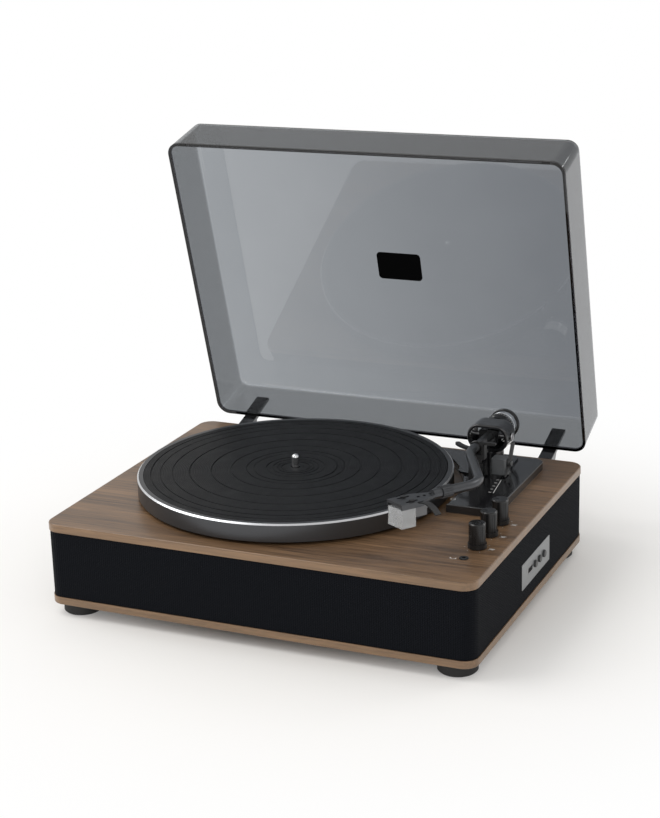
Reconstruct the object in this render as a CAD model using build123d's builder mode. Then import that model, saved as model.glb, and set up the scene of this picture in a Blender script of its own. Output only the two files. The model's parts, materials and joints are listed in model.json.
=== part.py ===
# A record player with built-in speakers: a wooden case with cloth sides, a belt-driven
# platter, an S-shaped tonearm, three knobs, a side panel and a smoked hinged lid, shown open.
# Millimetres, +Z up, +X to the right seen from the front, the front towards -Y.
# The origin is on the floor, under the middle of the box that holds the player with its lid open.
import os
from math import cos, radians, sin, tan

from build123d import *

os.makedirs("parts", exist_ok=True)

# Case
deck_y = -37.7  # the case's middle, which lies in front of the origin because the lid leans back
deck_width = 420.0
deck_depth = 324.0
corner_radius = 14.0
foot_height = 11.5
foot_diameter = 36.0
foot_inset = 23.0
panel_thickness = 7.5
panel_rounding = 1.2
cabinet_height = 64.5
cloth_inset = 0.8
cloth_thickness = 1.0
cloth_gap = 0.1
wall_thickness = 9.0
screw_head_diameter = 7.0
screw_head_height = 2.0
screw_diameter = 3.5
screw_length = 14.0

bottom_z = foot_height
cabinet_z = bottom_z + panel_thickness
ceiling_z = cabinet_z + cabinet_height
deck_z = ceiling_z + panel_thickness
middle_z = cabinet_z + cabinet_height / 2
frame_inset = cloth_inset + cloth_thickness + cloth_gap
front_y = deck_y - deck_depth / 2
back_y = deck_y + deck_depth / 2
right_x = deck_width / 2

# Speakers
speaker_spacing = 250.0
speaker_height = 54.0
speaker_width = 74.0
speaker_frame_thickness = 2.5
speaker_hole = 46.0
speaker_magnet_diameter = 32.0
speaker_depth = 26.0
speaker_magnet_thickness = 10.0
speaker_gap = 0.1

# Platter, its bearing and its drive
spindle_from_left = 180.0
spindle_back = 5.5
spindle_x = spindle_from_left - right_x
spindle_y = deck_y + spindle_back
spindle_diameter = 7.15
shaft_diameter = 8.0
spindle_neck_diameter = 6.0
spindle_neck_rise = 0.3
spindle_reach = 13.0
platter_diameter = 303.0
platter_lift = 3.0
platter_height = 17.0
platter_disc = 3.5
platter_rim = 6.0
platter_chamfer = 1.4
mat_diameter = 291.0
mat_thickness = 2.4
mat_stand = 0.2
mat_gap = 0.3
mat_groove_width = 0.9
mat_groove_depth = 0.6
mat_groove_radii = (138.5, 129.5, 118.0, 101.5, 81.0, 62.0, 47.0, 40.0, 28.0, 22.0, 17.5, 13.5)
hub_diameter = 26.0
drum_diameter = 180.0
drum_wall = 4.0
drum_height = 8.5
bearing_bore_gap = 0.05
bearing_diameter = 14.0
bearing_length = 36.0
bearing_flange = 34.0
bearing_flange_height = 2.4
bearing_floor = 3.0
hub_gap = 0.4
motor_angle = 225.0
motor_distance = 120.0
motor_diameter = 34.0
motor_height = 24.0
motor_plate_thickness = 1.5
motor_plate_length = 58.0
motor_plate_width = 40.0
motor_shaft_diameter = 2.0
motor_hole = 14.0
motor_shaft_gap = 0.05
pulley_diameter = 9.0
pulley_flange = 12.0
pulley_height = 8.0
pulley_lift = 4.2
belt_thickness = 0.8
belt_width = 5.0
belt_gap = 0.25

platter_z = deck_z + platter_lift
rim_z = platter_z + platter_height
mat_top_z = rim_z + mat_stand
mat_z = mat_top_z - mat_thickness
disc_z = mat_z - platter_disc
drum_z = disc_z - drum_height
flange_top_z = deck_z + bearing_flange_height
spindle_top_z = mat_top_z + spindle_reach
motor_x = spindle_x + motor_distance * cos(radians(motor_angle))
motor_y = spindle_y + motor_distance * sin(radians(motor_angle))
pulley_z = deck_z + pulley_lift
belt_z = pulley_z + (pulley_height - belt_width) / 2

# Control knobs
knob_inset = 25.0
knob_from_front = 79.5
knob_x = right_x - knob_inset
knob_first_y = front_y + knob_from_front
knob_pitch = 31.0
knob_count = 3
knob_diameter = 15.0
knob_flange = 17.0
knob_flange_height = 4.0
knob_height = 23.0
knob_lift = 0.6
knob_rib_count = 24
knob_rib = 0.7
control_shaft_diameter = 6.0
control_shaft_gap = 0.05
control_bush_diameter = 9.0
control_box = 17.0
control_box_height = 8.0
hole_gap = 0.15

# Headphone socket
jack_inset = 27.5
jack_from_front = 52.0
jack_x = right_x - jack_inset
jack_y = front_y + jack_from_front
jack_bore = 3.6
jack_ring = 8.0
jack_ring_height = 0.8
jack_body = 12.0
jack_depth = 22.0

# Side panel with its socket and buttons
side_y = deck_y + 9.5
side_drop = 39.0
side_z = ceiling_z - side_drop
side_length = 82.0
side_height = 25.0
side_thickness = 1.4
side_stand = 0.5
side_pocket_margin = 2.5
side_post_diameter = 4.0
side_post_length = 12.0
side_board_thickness = 1.6
usb_y = deck_y - 7.0
usb_width = 13.2
usb_height = 5.8
usb_wall = 0.5
usb_depth = 14.0
usb_tongue = 1.2
button_first_y = deck_y + 7.0
button_pitch = 13.0
button_count = 3
button_diameter = 7.0
button_stand = 1.8
button_flange = 9.0
button_flange_height = 1.2
button_stem_diameter = 3.0
button_travel = 0.8
button_gap = 0.2
switch_size = 6.0
switch_room = 4.0

# Rear terminals
terminal_inset = 140.0
terminal_x = terminal_inset - right_x
terminal_length = 150.0
terminal_height = 40.0
terminal_thickness = 2.0
terminal_pocket_margin = 3.0
phono_diameter = 8.2
phono_length = 9.0
phono_bore = 3.2
phono_collar = 11.0
phono_spacing_x = 18.0
phono_spacing_z = 18.0
phono_offset = 40.0
inlet_offset = 8.0
phono_x = terminal_x - phono_offset
inlet_x = terminal_x + inlet_offset
inlet_diameter = 11.0
inlet_bore = 5.5
inlet_pin = 2.0
inlet_depth = 10.0
rocker_offset = 48.0
rocker_x = terminal_x + rocker_offset
rocker_width = 12.0
rocker_length = 18.0
rocker_frame_wall = 1.4
rocker_depth = 14.0
rocker_gap = 0.4
rocker_swing_gap = 0.9
rocker_reach = 5.0
rocker_dish = 1.2
rocker_pin = 2.0

rocker_axis_y = back_y - frame_inset + terminal_thickness - rocker_reach + 1
rocker_half = rocker_length / 2 - rocker_frame_wall - rocker_swing_gap

# Main circuit board
board_inset = 115.0
board_forward = 40.0
board_x = right_x - board_inset
board_y = deck_y - board_forward
board_length = 120.0
board_width = 80.0
board_thickness = 1.6
board_standoff = 6.0
board_post = 6.0
chip_length = 16.0
chip_width = 12.0
chip_height = 9.0
chip_pitch_x = 30.0
chip_pitch_y = 26.0

# Tonearm base and pivot
arm_inset = 77.0
arm_from_back = 57.0
arm_height = 39.0
arm_x = right_x - arm_inset
arm_y = back_y - arm_from_back
arm_z = deck_z + arm_height
arm_tilt = 2.0
base_inset = 32.5
base_from_back = 24.5
base_width = 147.5
base_depth = 148.0
base_right_x = right_x - base_inset
base_left_x = base_right_x - base_width
base_back_y = back_y - base_from_back
base_front_y = base_back_y - base_depth
base_corner = 9.0
base_thickness = 8.0
base_rounding = 1.2
base_platter_gap = 8.5
plinth_left = 24.0
plinth_right = 20.5
plinth_front = 34.0
plinth_back = 29.0
plinth_height = 2.0
plinth_corner = 9.0
pillar_diameter = 25.0
pillar_cap_gap = 0.3
gimbal_width = 41.0
gimbal_height = 26.0
gimbal_depth = 24.0
gimbal_wall = 3.0
gimbal_corner = 12.0
gimbal_rounding = 1.5
yaw_pin_diameter = 6.0
yaw_pin_length = 14.0
pivot_gap = 0.05
pivot_block_width = 20.0
pivot_block_height = 13.0
pivot_block_depth = 15.0
pivot_screw_diameter = 4.0
pivot_screw_bite = 3.0

# Tonearm tube, headshell and cartridge
tube_diameter = 9.0
tube_bore = 6.5
tube_first_corner = 62.0
tube_bend_x = 40.0
tube_bend_y = 145.0
tube_first_radius = 45.0
tube_bend_radius = 28.0
head_angle = 31.5
neck_reach = 34.0
collar_diameter = 11.5
collar_length = 11.0
collar_grooves = 18
head_length = 50.0
head_width = 22.0
head_thickness = 2.4
head_top = 1.0
head_neck_width = 9.0
head_neck_length = 9.0
head_straight = 24.0
head_lip = 2.6
head_lip_width = 1.4
head_slot_length = 13.0
head_slot_width = 2.8
head_slot_spacing = 12.7
head_slot_back = 14.0
head_hole_diameter = 3.2
head_hole_pitch = 6.5
head_hole_back = 26.0
cartridge_width = 15.5
cartridge_length = 26.0
cartridge_height = 12.5
cartridge_back = 3.5
cartridge_pin_diameter = 1.2
cartridge_pin_length = 5.0
cartridge_screw_diameter = 2.5
stylus_width = 11.0
stylus_length = 13.0
stylus_height = 4.0
cantilever_diameter = 0.7
cantilever_length = 6.0
guard_width = 17.5
guard_length = 15.0
guard_height = 17.0
guard_wall = 1.3
guard_gap = 0.3
guard_reach = 1.5
lift_tab_length = 24.0
lift_tab_width = 3.0
lift_tab_thickness = 1.2

# Counterweight
stub_diameter = 8.0
weight_floor = 3.0
weight_diameter = 30.0
weight_length = 17.0
weight_band = 9.0
weight_band_inset = 1.2
weight_start = 26.0
weight_gap = 0.05
dial_diameter = 29.0
dial_front_diameter = 25.0
dial_length = 9.0
dial_gap = 0.3
weight_rounding = 1.0

# Cue lever and lift, arm rest
cue_block_left = 10.0
cue_block_width = 14.6
cue_block_depth = 14.0
cue_block_height = 15.0
cue_pin_head = 5.0
cue_block_forward = 23.0
cue_pivot_height = 20.0
cue_pivot_z = deck_z + cue_pivot_height
cue_pin_diameter = 3.0
cue_lever_thickness = 2.5
cue_lever_gap = 0.4
cue_lever_width = 5.0
cue_lever_boss = 8.0
cue_lever_length = 19.0
cue_lever_lean = 32.0
cue_rod_diameter = 2.0
cue_rod_length = 17.0
cue_rod_angle = 37.0
lift_forward = 34.0
lift_pin_diameter = 5.0
lift_sleeve_diameter = 10.0
lift_sleeve_height = 14.0
lift_bar_start = 220.0
lift_bar_sweep = 60.0
lift_bar_width = 5.0
lift_bar_thickness = 2.4
lift_bar_gap = 0.4
lift_pin_length = 26.0
lift_pin_gap = 0.05
rest_forward = 49.0
rest_width = 9.0
rest_depth = 7.0
rest_wall = 3.0
rest_shelf = 4.0
rest_gap = 0.4
rest_side_gap = 4.0
rest_foot = 16.0
rest_foot_height = 2.0
latch_thickness = 2.6
latch_pin_diameter = 2.5
latch_length = 12.4
latch_width = 3.0
latch_lift = 7.3

# Lid and its hinges
lid_width = 410.5
lid_depth = 318.0
lid_height = 56.0
lid_wall = 3.0
lid_corner = 13.0
lid_draft = 2.0
lid_rounding = 6.0
lid_gap = 0.7
lid_open_angle = 74.5
hinge_back = 12.55
hinge_drop = 14.0
hinge_z = deck_z - hinge_drop
lid_back_gap = 0.0
hinge_inset = 43.0
hinge_x = right_x - hinge_inset
hinge_width = 14.0
hinge_barrel = 11.0
hinge_pin_diameter = 4.0
hinge_pin_gap = 0.05
hinge_cheek = 3.2
hinge_cheek_gap = 0.3
hinge_socket_thickness = 1.9
hinge_clear = 0.7
hinge_socket_height = 40.0
hinge_bracket_length = 33.0
hinge_bracket_thickness = 3.0
bumper_length = 8.0
bumper_width = 2.4
bumper_height = 0.4
bumper_inset = 14.0
pad_x = 5.5
pad_from_hinge_edge = 167.0
pad_length = 47.0
pad_width = 30.0
pad_thickness = 1.0
pad_corner = 4.0

hinge_y = back_y + hinge_back
rim_lift = deck_z + lid_gap - hinge_z
rim_back = hinge_back + lid_back_gap

# Planes and shapes that several pieces share
deck_plane = Plane((0, deck_y, 0))
front_wall_plane = Plane((0, front_y, 0), x_dir=(1, 0, 0), z_dir=(0, -1, 0))
right_wall_plane = Plane((right_x, 0, 0), x_dir=(0, 1, 0), z_dir=(1, 0, 0))
back_wall_plane = Plane((0, back_y, 0), x_dir=(-1, 0, 0), z_dir=(0, 1, 0))
platter_plane = Plane((spindle_x, spindle_y, 0))
motor_plane = Plane((motor_x, motor_y, 0))
tilt = radians(arm_tilt)
pivot_plane = Plane((arm_x, arm_y, 0))
arm_plane = Plane((arm_x, arm_y, arm_z), x_dir=(1, 0, 0), z_dir=(0, sin(tilt), cos(tilt)))
opening = radians(lid_open_angle)
lid_plane = Plane((0, hinge_y, hinge_z), x_dir=(1, 0, 0), z_dir=(0, sin(opening), cos(opening)))


def outline(inset):
    """The case's rounded outline, drawn this far inside its edge."""
    return RectangleRounded(deck_width - 2 * inset, deck_depth - 2 * inset, corner_radius - inset)


def disc(plane, height, diameter, thickness, mode=Mode.ADD):
    """A round slab on a plane lifted to a height."""
    with BuildSketch(plane.offset(height)) as profile:
        Circle(diameter / 2)
    extrude(profile.sketch, amount=thickness, mode=mode)


def slab(plane, height, x, y, width, depth, thickness, mode=Mode.ADD):
    """A rectangular slab on a plane lifted to a height."""
    with BuildSketch(plane.offset(height)) as profile:
        with Locations((x, y)):
            Rectangle(width, depth)
    extrude(profile.sketch, amount=thickness, mode=mode)


def top_edges(builder):
    """The edges round a piece's highest flat face."""
    return builder.faces().sort_by(Axis.Z)[-1].edges()


foot_spots = [
    (sx * (right_x - foot_inset), deck_y + sy * (deck_depth / 2 - foot_inset)) for sx in (-1, 1) for sy in (-1, 1)
]
knob_spots = [(knob_x, knob_first_y + k * knob_pitch) for k in range(knob_count)]
button_spots = [(button_first_y + k * button_pitch, side_z) for k in range(button_count)]
speaker_spots = [(-speaker_spacing / 2, middle_z), (speaker_spacing / 2, middle_z)]

# Top panel
with BuildPart() as top_panel:
    with BuildSketch(deck_plane.offset(ceiling_z)):
        outline(0)
    extrude(amount=panel_thickness)
    fillet(top_edges(top_panel), panel_rounding)
    disc(platter_plane, ceiling_z, bearing_diameter + 2 * hole_gap, panel_thickness, Mode.SUBTRACT)
    disc(motor_plane, ceiling_z, motor_hole, panel_thickness, Mode.SUBTRACT)
    with BuildSketch(Plane.XY.offset(ceiling_z)):
        with Locations(*knob_spots):
            Circle(control_bush_diameter / 2 + hole_gap)
        with Locations((jack_x, jack_y)):
            Circle(jack_ring / 2 + hole_gap)
    extrude(amount=panel_thickness, mode=Mode.SUBTRACT)
top_panel.part.label = "top_panel"
export_step(top_panel.part, "parts/top_panel.step")

# Bottom panel, with a pilot hole for each foot's screw
with BuildPart() as bottom_panel:
    with BuildSketch(deck_plane.offset(bottom_z)):
        outline(0)
    extrude(amount=panel_thickness)
    fillet(bottom_panel.faces().sort_by(Axis.Z)[0].edges(), panel_rounding)
    with BuildSketch(Plane.XY.offset(bottom_z)):
        with Locations(*foot_spots):
            Circle(screw_diameter / 2 + hole_gap)
    extrude(amount=panel_thickness, mode=Mode.SUBTRACT)
bottom_panel.part.label = "bottom_panel"
export_step(bottom_panel.part, "parts/bottom_panel.step")

# Cabinet frame: the ring of walls between the panels
with BuildPart() as cabinet_frame:
    with BuildSketch(deck_plane.offset(cabinet_z)):
        outline(frame_inset)
        RectangleRounded(
            deck_width - 2 * (frame_inset + wall_thickness),
            deck_depth - 2 * (frame_inset + wall_thickness),
            corner_radius - frame_inset - wall_thickness,
            mode=Mode.SUBTRACT,
        )
    extrude(amount=cabinet_height)
    with BuildSketch(front_wall_plane):
        with Locations(*speaker_spots):
            Circle(speaker_hole / 2)
    extrude(amount=-(frame_inset + wall_thickness + 1), mode=Mode.SUBTRACT)
    with BuildSketch(right_wall_plane):
        with Locations((side_y, side_z)):
            Rectangle(side_length - 2 * side_pocket_margin, side_height - 2 * side_pocket_margin)
    extrude(amount=-(frame_inset + wall_thickness + 1), mode=Mode.SUBTRACT)
    with BuildSketch(back_wall_plane):
        with Locations((-terminal_x, middle_z)):
            Rectangle(
                terminal_length - 2 * terminal_pocket_margin, terminal_height - 2 * terminal_pocket_margin
            )
    extrude(amount=-(frame_inset + wall_thickness + 1), mode=Mode.SUBTRACT)
cabinet_frame.part.label = "cabinet_frame"
export_step(cabinet_frame.part, "parts/cabinet_frame.step")

# Cloth stretched round the frame, open at the side panel, the terminals and the lid's sockets
with BuildPart() as grille_cloth:
    with BuildSketch(deck_plane.offset(cabinet_z + hole_gap)):
        outline(cloth_inset)
        outline_inner = cloth_inset + cloth_thickness
        RectangleRounded(
            deck_width - 2 * outline_inner,
            deck_depth - 2 * outline_inner,
            corner_radius - outline_inner,
            mode=Mode.SUBTRACT,
        )
    extrude(amount=cabinet_height - 2 * hole_gap)
    with BuildSketch(right_wall_plane):
        with Locations((side_y, side_z)):
            Rectangle(side_length + 2 * hole_gap, side_height + 2 * hole_gap)
    extrude(amount=-2 * frame_inset, mode=Mode.SUBTRACT)
    with BuildSketch(back_wall_plane):
        with Locations((-terminal_x, middle_z)):
            Rectangle(terminal_length + 2 * hole_gap, terminal_height + 2 * hole_gap)
        with Locations(
            (hinge_x, ceiling_z - hinge_socket_height / 2), (-hinge_x, ceiling_z - hinge_socket_height / 2)
        ):
            Rectangle(hinge_width + 2 * (hinge_cheek + hinge_cheek_gap) + 2 * hole_gap, hinge_socket_height + 1)
    extrude(amount=-2 * frame_inset, mode=Mode.SUBTRACT)
grille_cloth.part.label = "grille_cloth"
export_step(grille_cloth.part, "parts/grille_cloth.step")

# Feet, with a recess for the screw's head
with BuildPart() as feet:
    with BuildSketch(Plane.XY):
        with Locations(*foot_spots):
            Circle(foot_diameter / 2)
    extrude(amount=foot_height)
    chamfer(feet.faces().sort_by(Axis.Z)[0:4].edges(), 1.5)
    with BuildSketch(Plane.XY):
        with Locations(*foot_spots):
            Circle(screw_head_diameter / 2 + 1)
    extrude(amount=foot_height / 2, mode=Mode.SUBTRACT)
    with BuildSketch(Plane.XY):
        with Locations(*foot_spots):
            Circle(screw_diameter / 2 + hole_gap)
    extrude(amount=foot_height, mode=Mode.SUBTRACT)
feet.part.label = "feet"
export_step(feet.part, "parts/feet.step")

with BuildPart() as foot_screws:
    with BuildSketch(Plane.XY.offset(foot_height / 2 - screw_head_height)):
        with Locations(*foot_spots):
            Circle(screw_head_diameter / 2)
    extrude(amount=screw_head_height)
    with BuildSketch(Plane.XY.offset(foot_height / 2)):
        with Locations(*foot_spots):
            Circle(screw_diameter / 2)
    extrude(amount=foot_height / 2 + panel_thickness - 1)
foot_screws.part.label = "foot_screws"
export_step(foot_screws.part, "parts/foot_screws.step")

# Speakers behind the front wall: each has a frame with its magnet, and a paper cone
speaker_plane = front_wall_plane.offset(-(frame_inset + wall_thickness + speaker_gap))
with BuildPart(speaker_plane) as speaker_frames:
    with BuildSketch(speaker_plane):
        with Locations(*speaker_spots):
            RectangleRounded(speaker_width, speaker_height, 6)
    extrude(amount=-speaker_frame_thickness)
    with Locations(*[(x, z, -speaker_depth / 2) for x, z in speaker_spots]):
        Cone(speaker_magnet_diameter / 2, speaker_hole / 2 + 2, speaker_depth)
    with Locations(*[(x, z, -speaker_depth / 2) for x, z in speaker_spots]):
        Cone(speaker_magnet_diameter / 2 - 2, speaker_hole / 2, speaker_depth, mode=Mode.SUBTRACT)
    with BuildSketch(speaker_plane.offset(-speaker_depth)):
        with Locations(*speaker_spots):
            Circle(speaker_magnet_diameter / 2)
    extrude(amount=-speaker_magnet_thickness)
speaker_frames.part.label = "speaker_frames"
export_step(speaker_frames.part, "parts/speaker_frames.step")

with BuildPart(speaker_plane) as speaker_cones:
    with Locations(*[(x, z, -speaker_depth / 2 + 0.2) for x, z in speaker_spots]):
        Cone(speaker_magnet_diameter / 2 - 2.4, speaker_hole / 2 - 0.4, speaker_depth - 1)
    with Locations(*[(x, z, -speaker_depth / 2 + 1.2) for x, z in speaker_spots]):
        Cone(speaker_magnet_diameter / 2 - 3.4, speaker_hole / 2 - 1.4, speaker_depth - 1, mode=Mode.SUBTRACT)
speaker_cones.part.label = "speaker_cones"
export_step(speaker_cones.part, "parts/speaker_cones.step")

# Main circuit board on four posts that stand on the bottom panel
board_posts = [
    (board_x + sx * (board_length / 2 - board_post), board_y + sy * (board_width / 2 - board_post))
    for sx in (-1, 1)
    for sy in (-1, 1)
]
with BuildPart() as main_board:
    with BuildSketch(Plane.XY.offset(cabinet_z + board_standoff)):
        with Locations((board_x, board_y)):
            Rectangle(board_length, board_width)
    extrude(amount=board_thickness)
    with BuildSketch(Plane.XY.offset(cabinet_z)):
        with Locations(*board_posts):
            Circle(board_post / 2)
    extrude(amount=board_standoff)
    with Locations((board_x, board_y, cabinet_z + board_standoff + board_thickness)):
        with GridLocations(chip_pitch_x, chip_pitch_y, 3, 2):
            Box(chip_length, chip_width, chip_height, align=(Align.CENTER, Align.CENTER, Align.MIN))
main_board.part.label = "main_board"
export_step(main_board.part, "parts/main_board.step")

# Platter: a shallow cast dish with a hub and a drum that the belt runs on
with BuildPart() as platter:
    disc(platter_plane, platter_z, platter_diameter, platter_height)
    chamfer(top_edges(platter), platter_chamfer)
    disc(platter_plane, mat_z, mat_diameter + 2 * mat_gap, mat_thickness, Mode.SUBTRACT)
    disc(platter_plane, platter_z, platter_diameter - 2 * platter_rim, disc_z - platter_z, Mode.SUBTRACT)
    with BuildSketch(platter_plane.offset(drum_z)):
        Circle(drum_diameter / 2)
        Circle(drum_diameter / 2 - drum_wall, mode=Mode.SUBTRACT)
    extrude(amount=drum_height)
    disc(platter_plane, flange_top_z + hub_gap, hub_diameter, disc_z - flange_top_z - hub_gap)
    disc(platter_plane, flange_top_z, shaft_diameter, platter_height, Mode.SUBTRACT)
platter.part.label = "platter"
export_step(platter.part, "parts/platter.step")

# Rubber mat with its rings
with BuildPart() as platter_mat:
    disc(platter_plane, mat_z, mat_diameter, mat_thickness)
    chamfer(top_edges(platter_mat), 0.5)
    with BuildSketch(platter_plane.offset(mat_top_z - mat_groove_depth)):
        for radius in mat_groove_radii:
            Circle(radius + mat_groove_width / 2)
            Circle(radius - mat_groove_width / 2, mode=Mode.SUBTRACT)
    extrude(amount=mat_groove_depth, mode=Mode.SUBTRACT)
    disc(platter_plane, mat_z, shaft_diameter + 2 * mat_gap, mat_thickness, Mode.SUBTRACT)
platter_mat.part.label = "platter_mat"
export_step(platter_mat.part, "parts/platter_mat.step")

# Spindle: a shaft with a slim neck through the mat and a domed pin on top
spindle_foot_z = deck_z - bearing_length + bearing_floor + bearing_bore_gap
with BuildPart() as spindle:
    disc(platter_plane, spindle_foot_z, shaft_diameter, mat_z - spindle_foot_z)
    disc(platter_plane, mat_z, spindle_neck_diameter, mat_thickness + spindle_neck_rise)
    disc(platter_plane, mat_top_z + spindle_neck_rise, spindle_diameter, spindle_reach - spindle_neck_rise)
    fillet(top_edges(spindle), spindle_diameter / 2 - 0.3)
spindle.part.label = "spindle"
export_step(spindle.part, "parts/spindle.step")

# Bearing housing: a flanged sleeve through the top panel, closed at its foot
with BuildPart() as bearing_housing:
    disc(platter_plane, deck_z - bearing_length, bearing_diameter, bearing_length)
    disc(platter_plane, deck_z, bearing_flange, bearing_flange_height)
    disc(
        platter_plane,
        deck_z - bearing_length + bearing_floor,
        shaft_diameter + 2 * bearing_bore_gap,
        bearing_length,
        Mode.SUBTRACT,
    )
bearing_housing.part.label = "bearing_housing"
export_step(bearing_housing.part, "parts/bearing_housing.step")

# Motor: its plate under the top panel, the can, and the pulley on its shaft
with BuildPart() as motor_plate:
    with BuildSketch(motor_plane.offset(ceiling_z - motor_plate_thickness)):
        RectangleRounded(motor_plate_length, motor_plate_width, 8)
        Circle(motor_hole / 2, mode=Mode.SUBTRACT)
    extrude(amount=motor_plate_thickness)
motor_plate.part.label = "motor_plate"
export_step(motor_plate.part, "parts/motor_plate.step")

motor_top_z = ceiling_z - motor_plate_thickness
with BuildPart() as motor:
    disc(motor_plane, motor_top_z - motor_height, motor_diameter, motor_height)
    disc(motor_plane, motor_top_z, motor_hole - 2, panel_thickness / 2)
    disc(
        motor_plane,
        motor_top_z - motor_height + 2,
        motor_shaft_diameter + 2 * motor_shaft_gap,
        motor_height + panel_thickness,
        Mode.SUBTRACT,
    )
motor.part.label = "motor"
export_step(motor.part, "parts/motor.step")

motor_shaft_z = motor_top_z - motor_height + 2 + hole_gap
with BuildPart() as motor_pulley:
    disc(motor_plane, pulley_z, pulley_flange, 1)
    disc(motor_plane, pulley_z + 1, pulley_diameter, pulley_height - 2)
    disc(motor_plane, pulley_z + pulley_height - 1, pulley_flange, 1)
    disc(motor_plane, motor_shaft_z, motor_shaft_diameter, pulley_z - motor_shaft_z)
motor_pulley.part.label = "motor_pulley"
export_step(motor_pulley.part, "parts/motor_pulley.step")

# Belt round the platter's drum and the motor's pulley
belt_plane = Plane((0, 0, belt_z))


def belt_loop(reach):
    """The loop that lies this far outside the drum and the pulley."""
    with BuildSketch(belt_plane) as loop:
        with Locations((spindle_x, spindle_y)):
            Circle(drum_diameter / 2 + reach)
        with Locations((motor_x, motor_y)):
            Circle(pulley_diameter / 2 + reach)
        make_hull()
    return loop.sketch


belt_outer = belt_loop(belt_gap + belt_thickness)
belt_inner = belt_loop(belt_gap)
with BuildPart() as drive_belt:
    with BuildSketch(belt_plane):
        add(belt_outer)
        add(belt_inner, mode=Mode.SUBTRACT)
    extrude(amount=belt_width)
drive_belt.part.label = "drive_belt"
export_step(drive_belt.part, "parts/drive_belt.step")

# Controls under the top panel: a box and a threaded bush for each knob's shaft
control_box_z = ceiling_z - control_box_height
with BuildPart() as control_boxes:
    with BuildSketch(Plane.XY.offset(control_box_z)):
        with Locations(*knob_spots):
            Rectangle(control_box, control_box)
    extrude(amount=control_box_height)
    with BuildSketch(Plane.XY.offset(ceiling_z)):
        with Locations(*knob_spots):
            Circle(control_bush_diameter / 2)
    extrude(amount=panel_thickness)
    with BuildSketch(Plane.XY.offset(control_box_z + 1)):
        with Locations(*knob_spots):
            Circle(control_shaft_diameter / 2 + control_shaft_gap)
    extrude(amount=control_box_height + panel_thickness, mode=Mode.SUBTRACT)
control_boxes.part.label = "control_boxes"
export_step(control_boxes.part, "parts/control_boxes.step")

# Knobs, alike but for their places: a ribbed cap with a flange, moulded on its shaft
knob_z = deck_z + knob_lift
control_shaft_z = control_box_z + 1 + hole_gap
for k, (x, y) in enumerate(knob_spots, start=1):
    here = Plane((x, y, 0))
    with BuildPart() as control_knob:
        disc(here, knob_z, knob_flange, knob_flange_height)
        disc(here, knob_z + knob_flange_height, knob_diameter, knob_height - knob_flange_height)
        chamfer(top_edges(control_knob), 0.8)
        with BuildSketch(here.offset(knob_z + knob_flange_height)):
            with PolarLocations(knob_diameter / 2, knob_rib_count):
                Rectangle(knob_rib, knob_rib)
        extrude(amount=knob_height - knob_flange_height - 2, mode=Mode.SUBTRACT)
        with BuildSketch(here.offset(knob_z + knob_height - 0.5)):
            with Locations((-knob_diameter / 4, 0)):
                Rectangle(knob_diameter / 3, 1)
        extrude(amount=1, mode=Mode.SUBTRACT)
        disc(here, control_shaft_z, control_shaft_diameter, knob_z - control_shaft_z)
    control_knob.part.label = f"control_knob_{k}"
    export_step(control_knob.part, f"parts/control_knob_{k}.step")

# Headphone socket: a body under the panel and a ring that stands just above it
jack_plane = Plane((jack_x, jack_y, 0))
with BuildPart() as headphone_jack:
    disc(jack_plane, ceiling_z, jack_ring, panel_thickness + jack_ring_height)
    slab(jack_plane, ceiling_z + jack_ring_height - jack_depth, 0, 0, jack_body, jack_body, jack_depth - jack_ring_height)
    disc(
        jack_plane,
        ceiling_z + jack_ring_height - jack_depth + 2,
        jack_bore,
        jack_depth + panel_thickness,
        Mode.SUBTRACT,
    )
headphone_jack.part.label = "headphone_jack"
export_step(headphone_jack.part, "parts/headphone_jack.step")

# Side panel on the frame's right wall, with two posts for its board
side_back = -frame_inset
side_plane = right_wall_plane.offset(side_back)
plate_depth = frame_inset - side_stand
side_posts = [(side_y + s * (side_length / 2 - side_pocket_margin - side_post_diameter), side_z) for s in (-1, 1)]
with BuildPart() as side_plate:
    with BuildSketch(side_plane):
        with Locations((side_y, side_z)):
            RectangleRounded(side_length, side_height, 1.5)
    extrude(amount=side_thickness)
    with BuildSketch(side_plane):
        with Locations(*button_spots):
            Circle(button_diameter / 2 + button_gap)
        with Locations((usb_y, side_z)):
            Rectangle(usb_width + 2 * button_gap, usb_height + 2 * button_gap)
    extrude(amount=side_thickness, mode=Mode.SUBTRACT)
    with BuildSketch(side_plane):
        with Locations(*side_posts):
            Circle(side_post_diameter / 2)
    extrude(amount=-side_post_length)
side_plate.part.label = "side_plate"
export_step(side_plate.part, "parts/side_plate.step")

board_plane = side_plane.offset(-side_post_length)
switch_height = side_post_length - button_flange_height - switch_room
with BuildPart() as side_board:
    with BuildSketch(board_plane):
        with Locations((side_y, side_z)):
            Rectangle(side_length - 2 * side_pocket_margin - 2, side_height - 2 * side_pocket_margin - 2)
    extrude(amount=-side_board_thickness)
    with BuildSketch(board_plane):
        with Locations(*button_spots):
            Rectangle(switch_size, switch_size)
    extrude(amount=switch_height)
side_board.part.label = "side_board"
export_step(side_board.part, "parts/side_board.step")

with BuildPart() as usb_socket:
    with BuildSketch(board_plane):
        with Locations((usb_y, side_z)):
            Rectangle(usb_width, usb_height)
    extrude(amount=side_post_length + side_thickness)
    with BuildSketch(board_plane.offset(side_post_length + side_thickness)):
        with Locations((usb_y, side_z)):
            Rectangle(usb_width - 2 * usb_wall, usb_height - 2 * usb_wall)
    extrude(amount=-usb_depth + 3, mode=Mode.SUBTRACT)
usb_socket.part.label = "usb_socket"
export_step(usb_socket.part, "parts/usb_socket.step")

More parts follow.
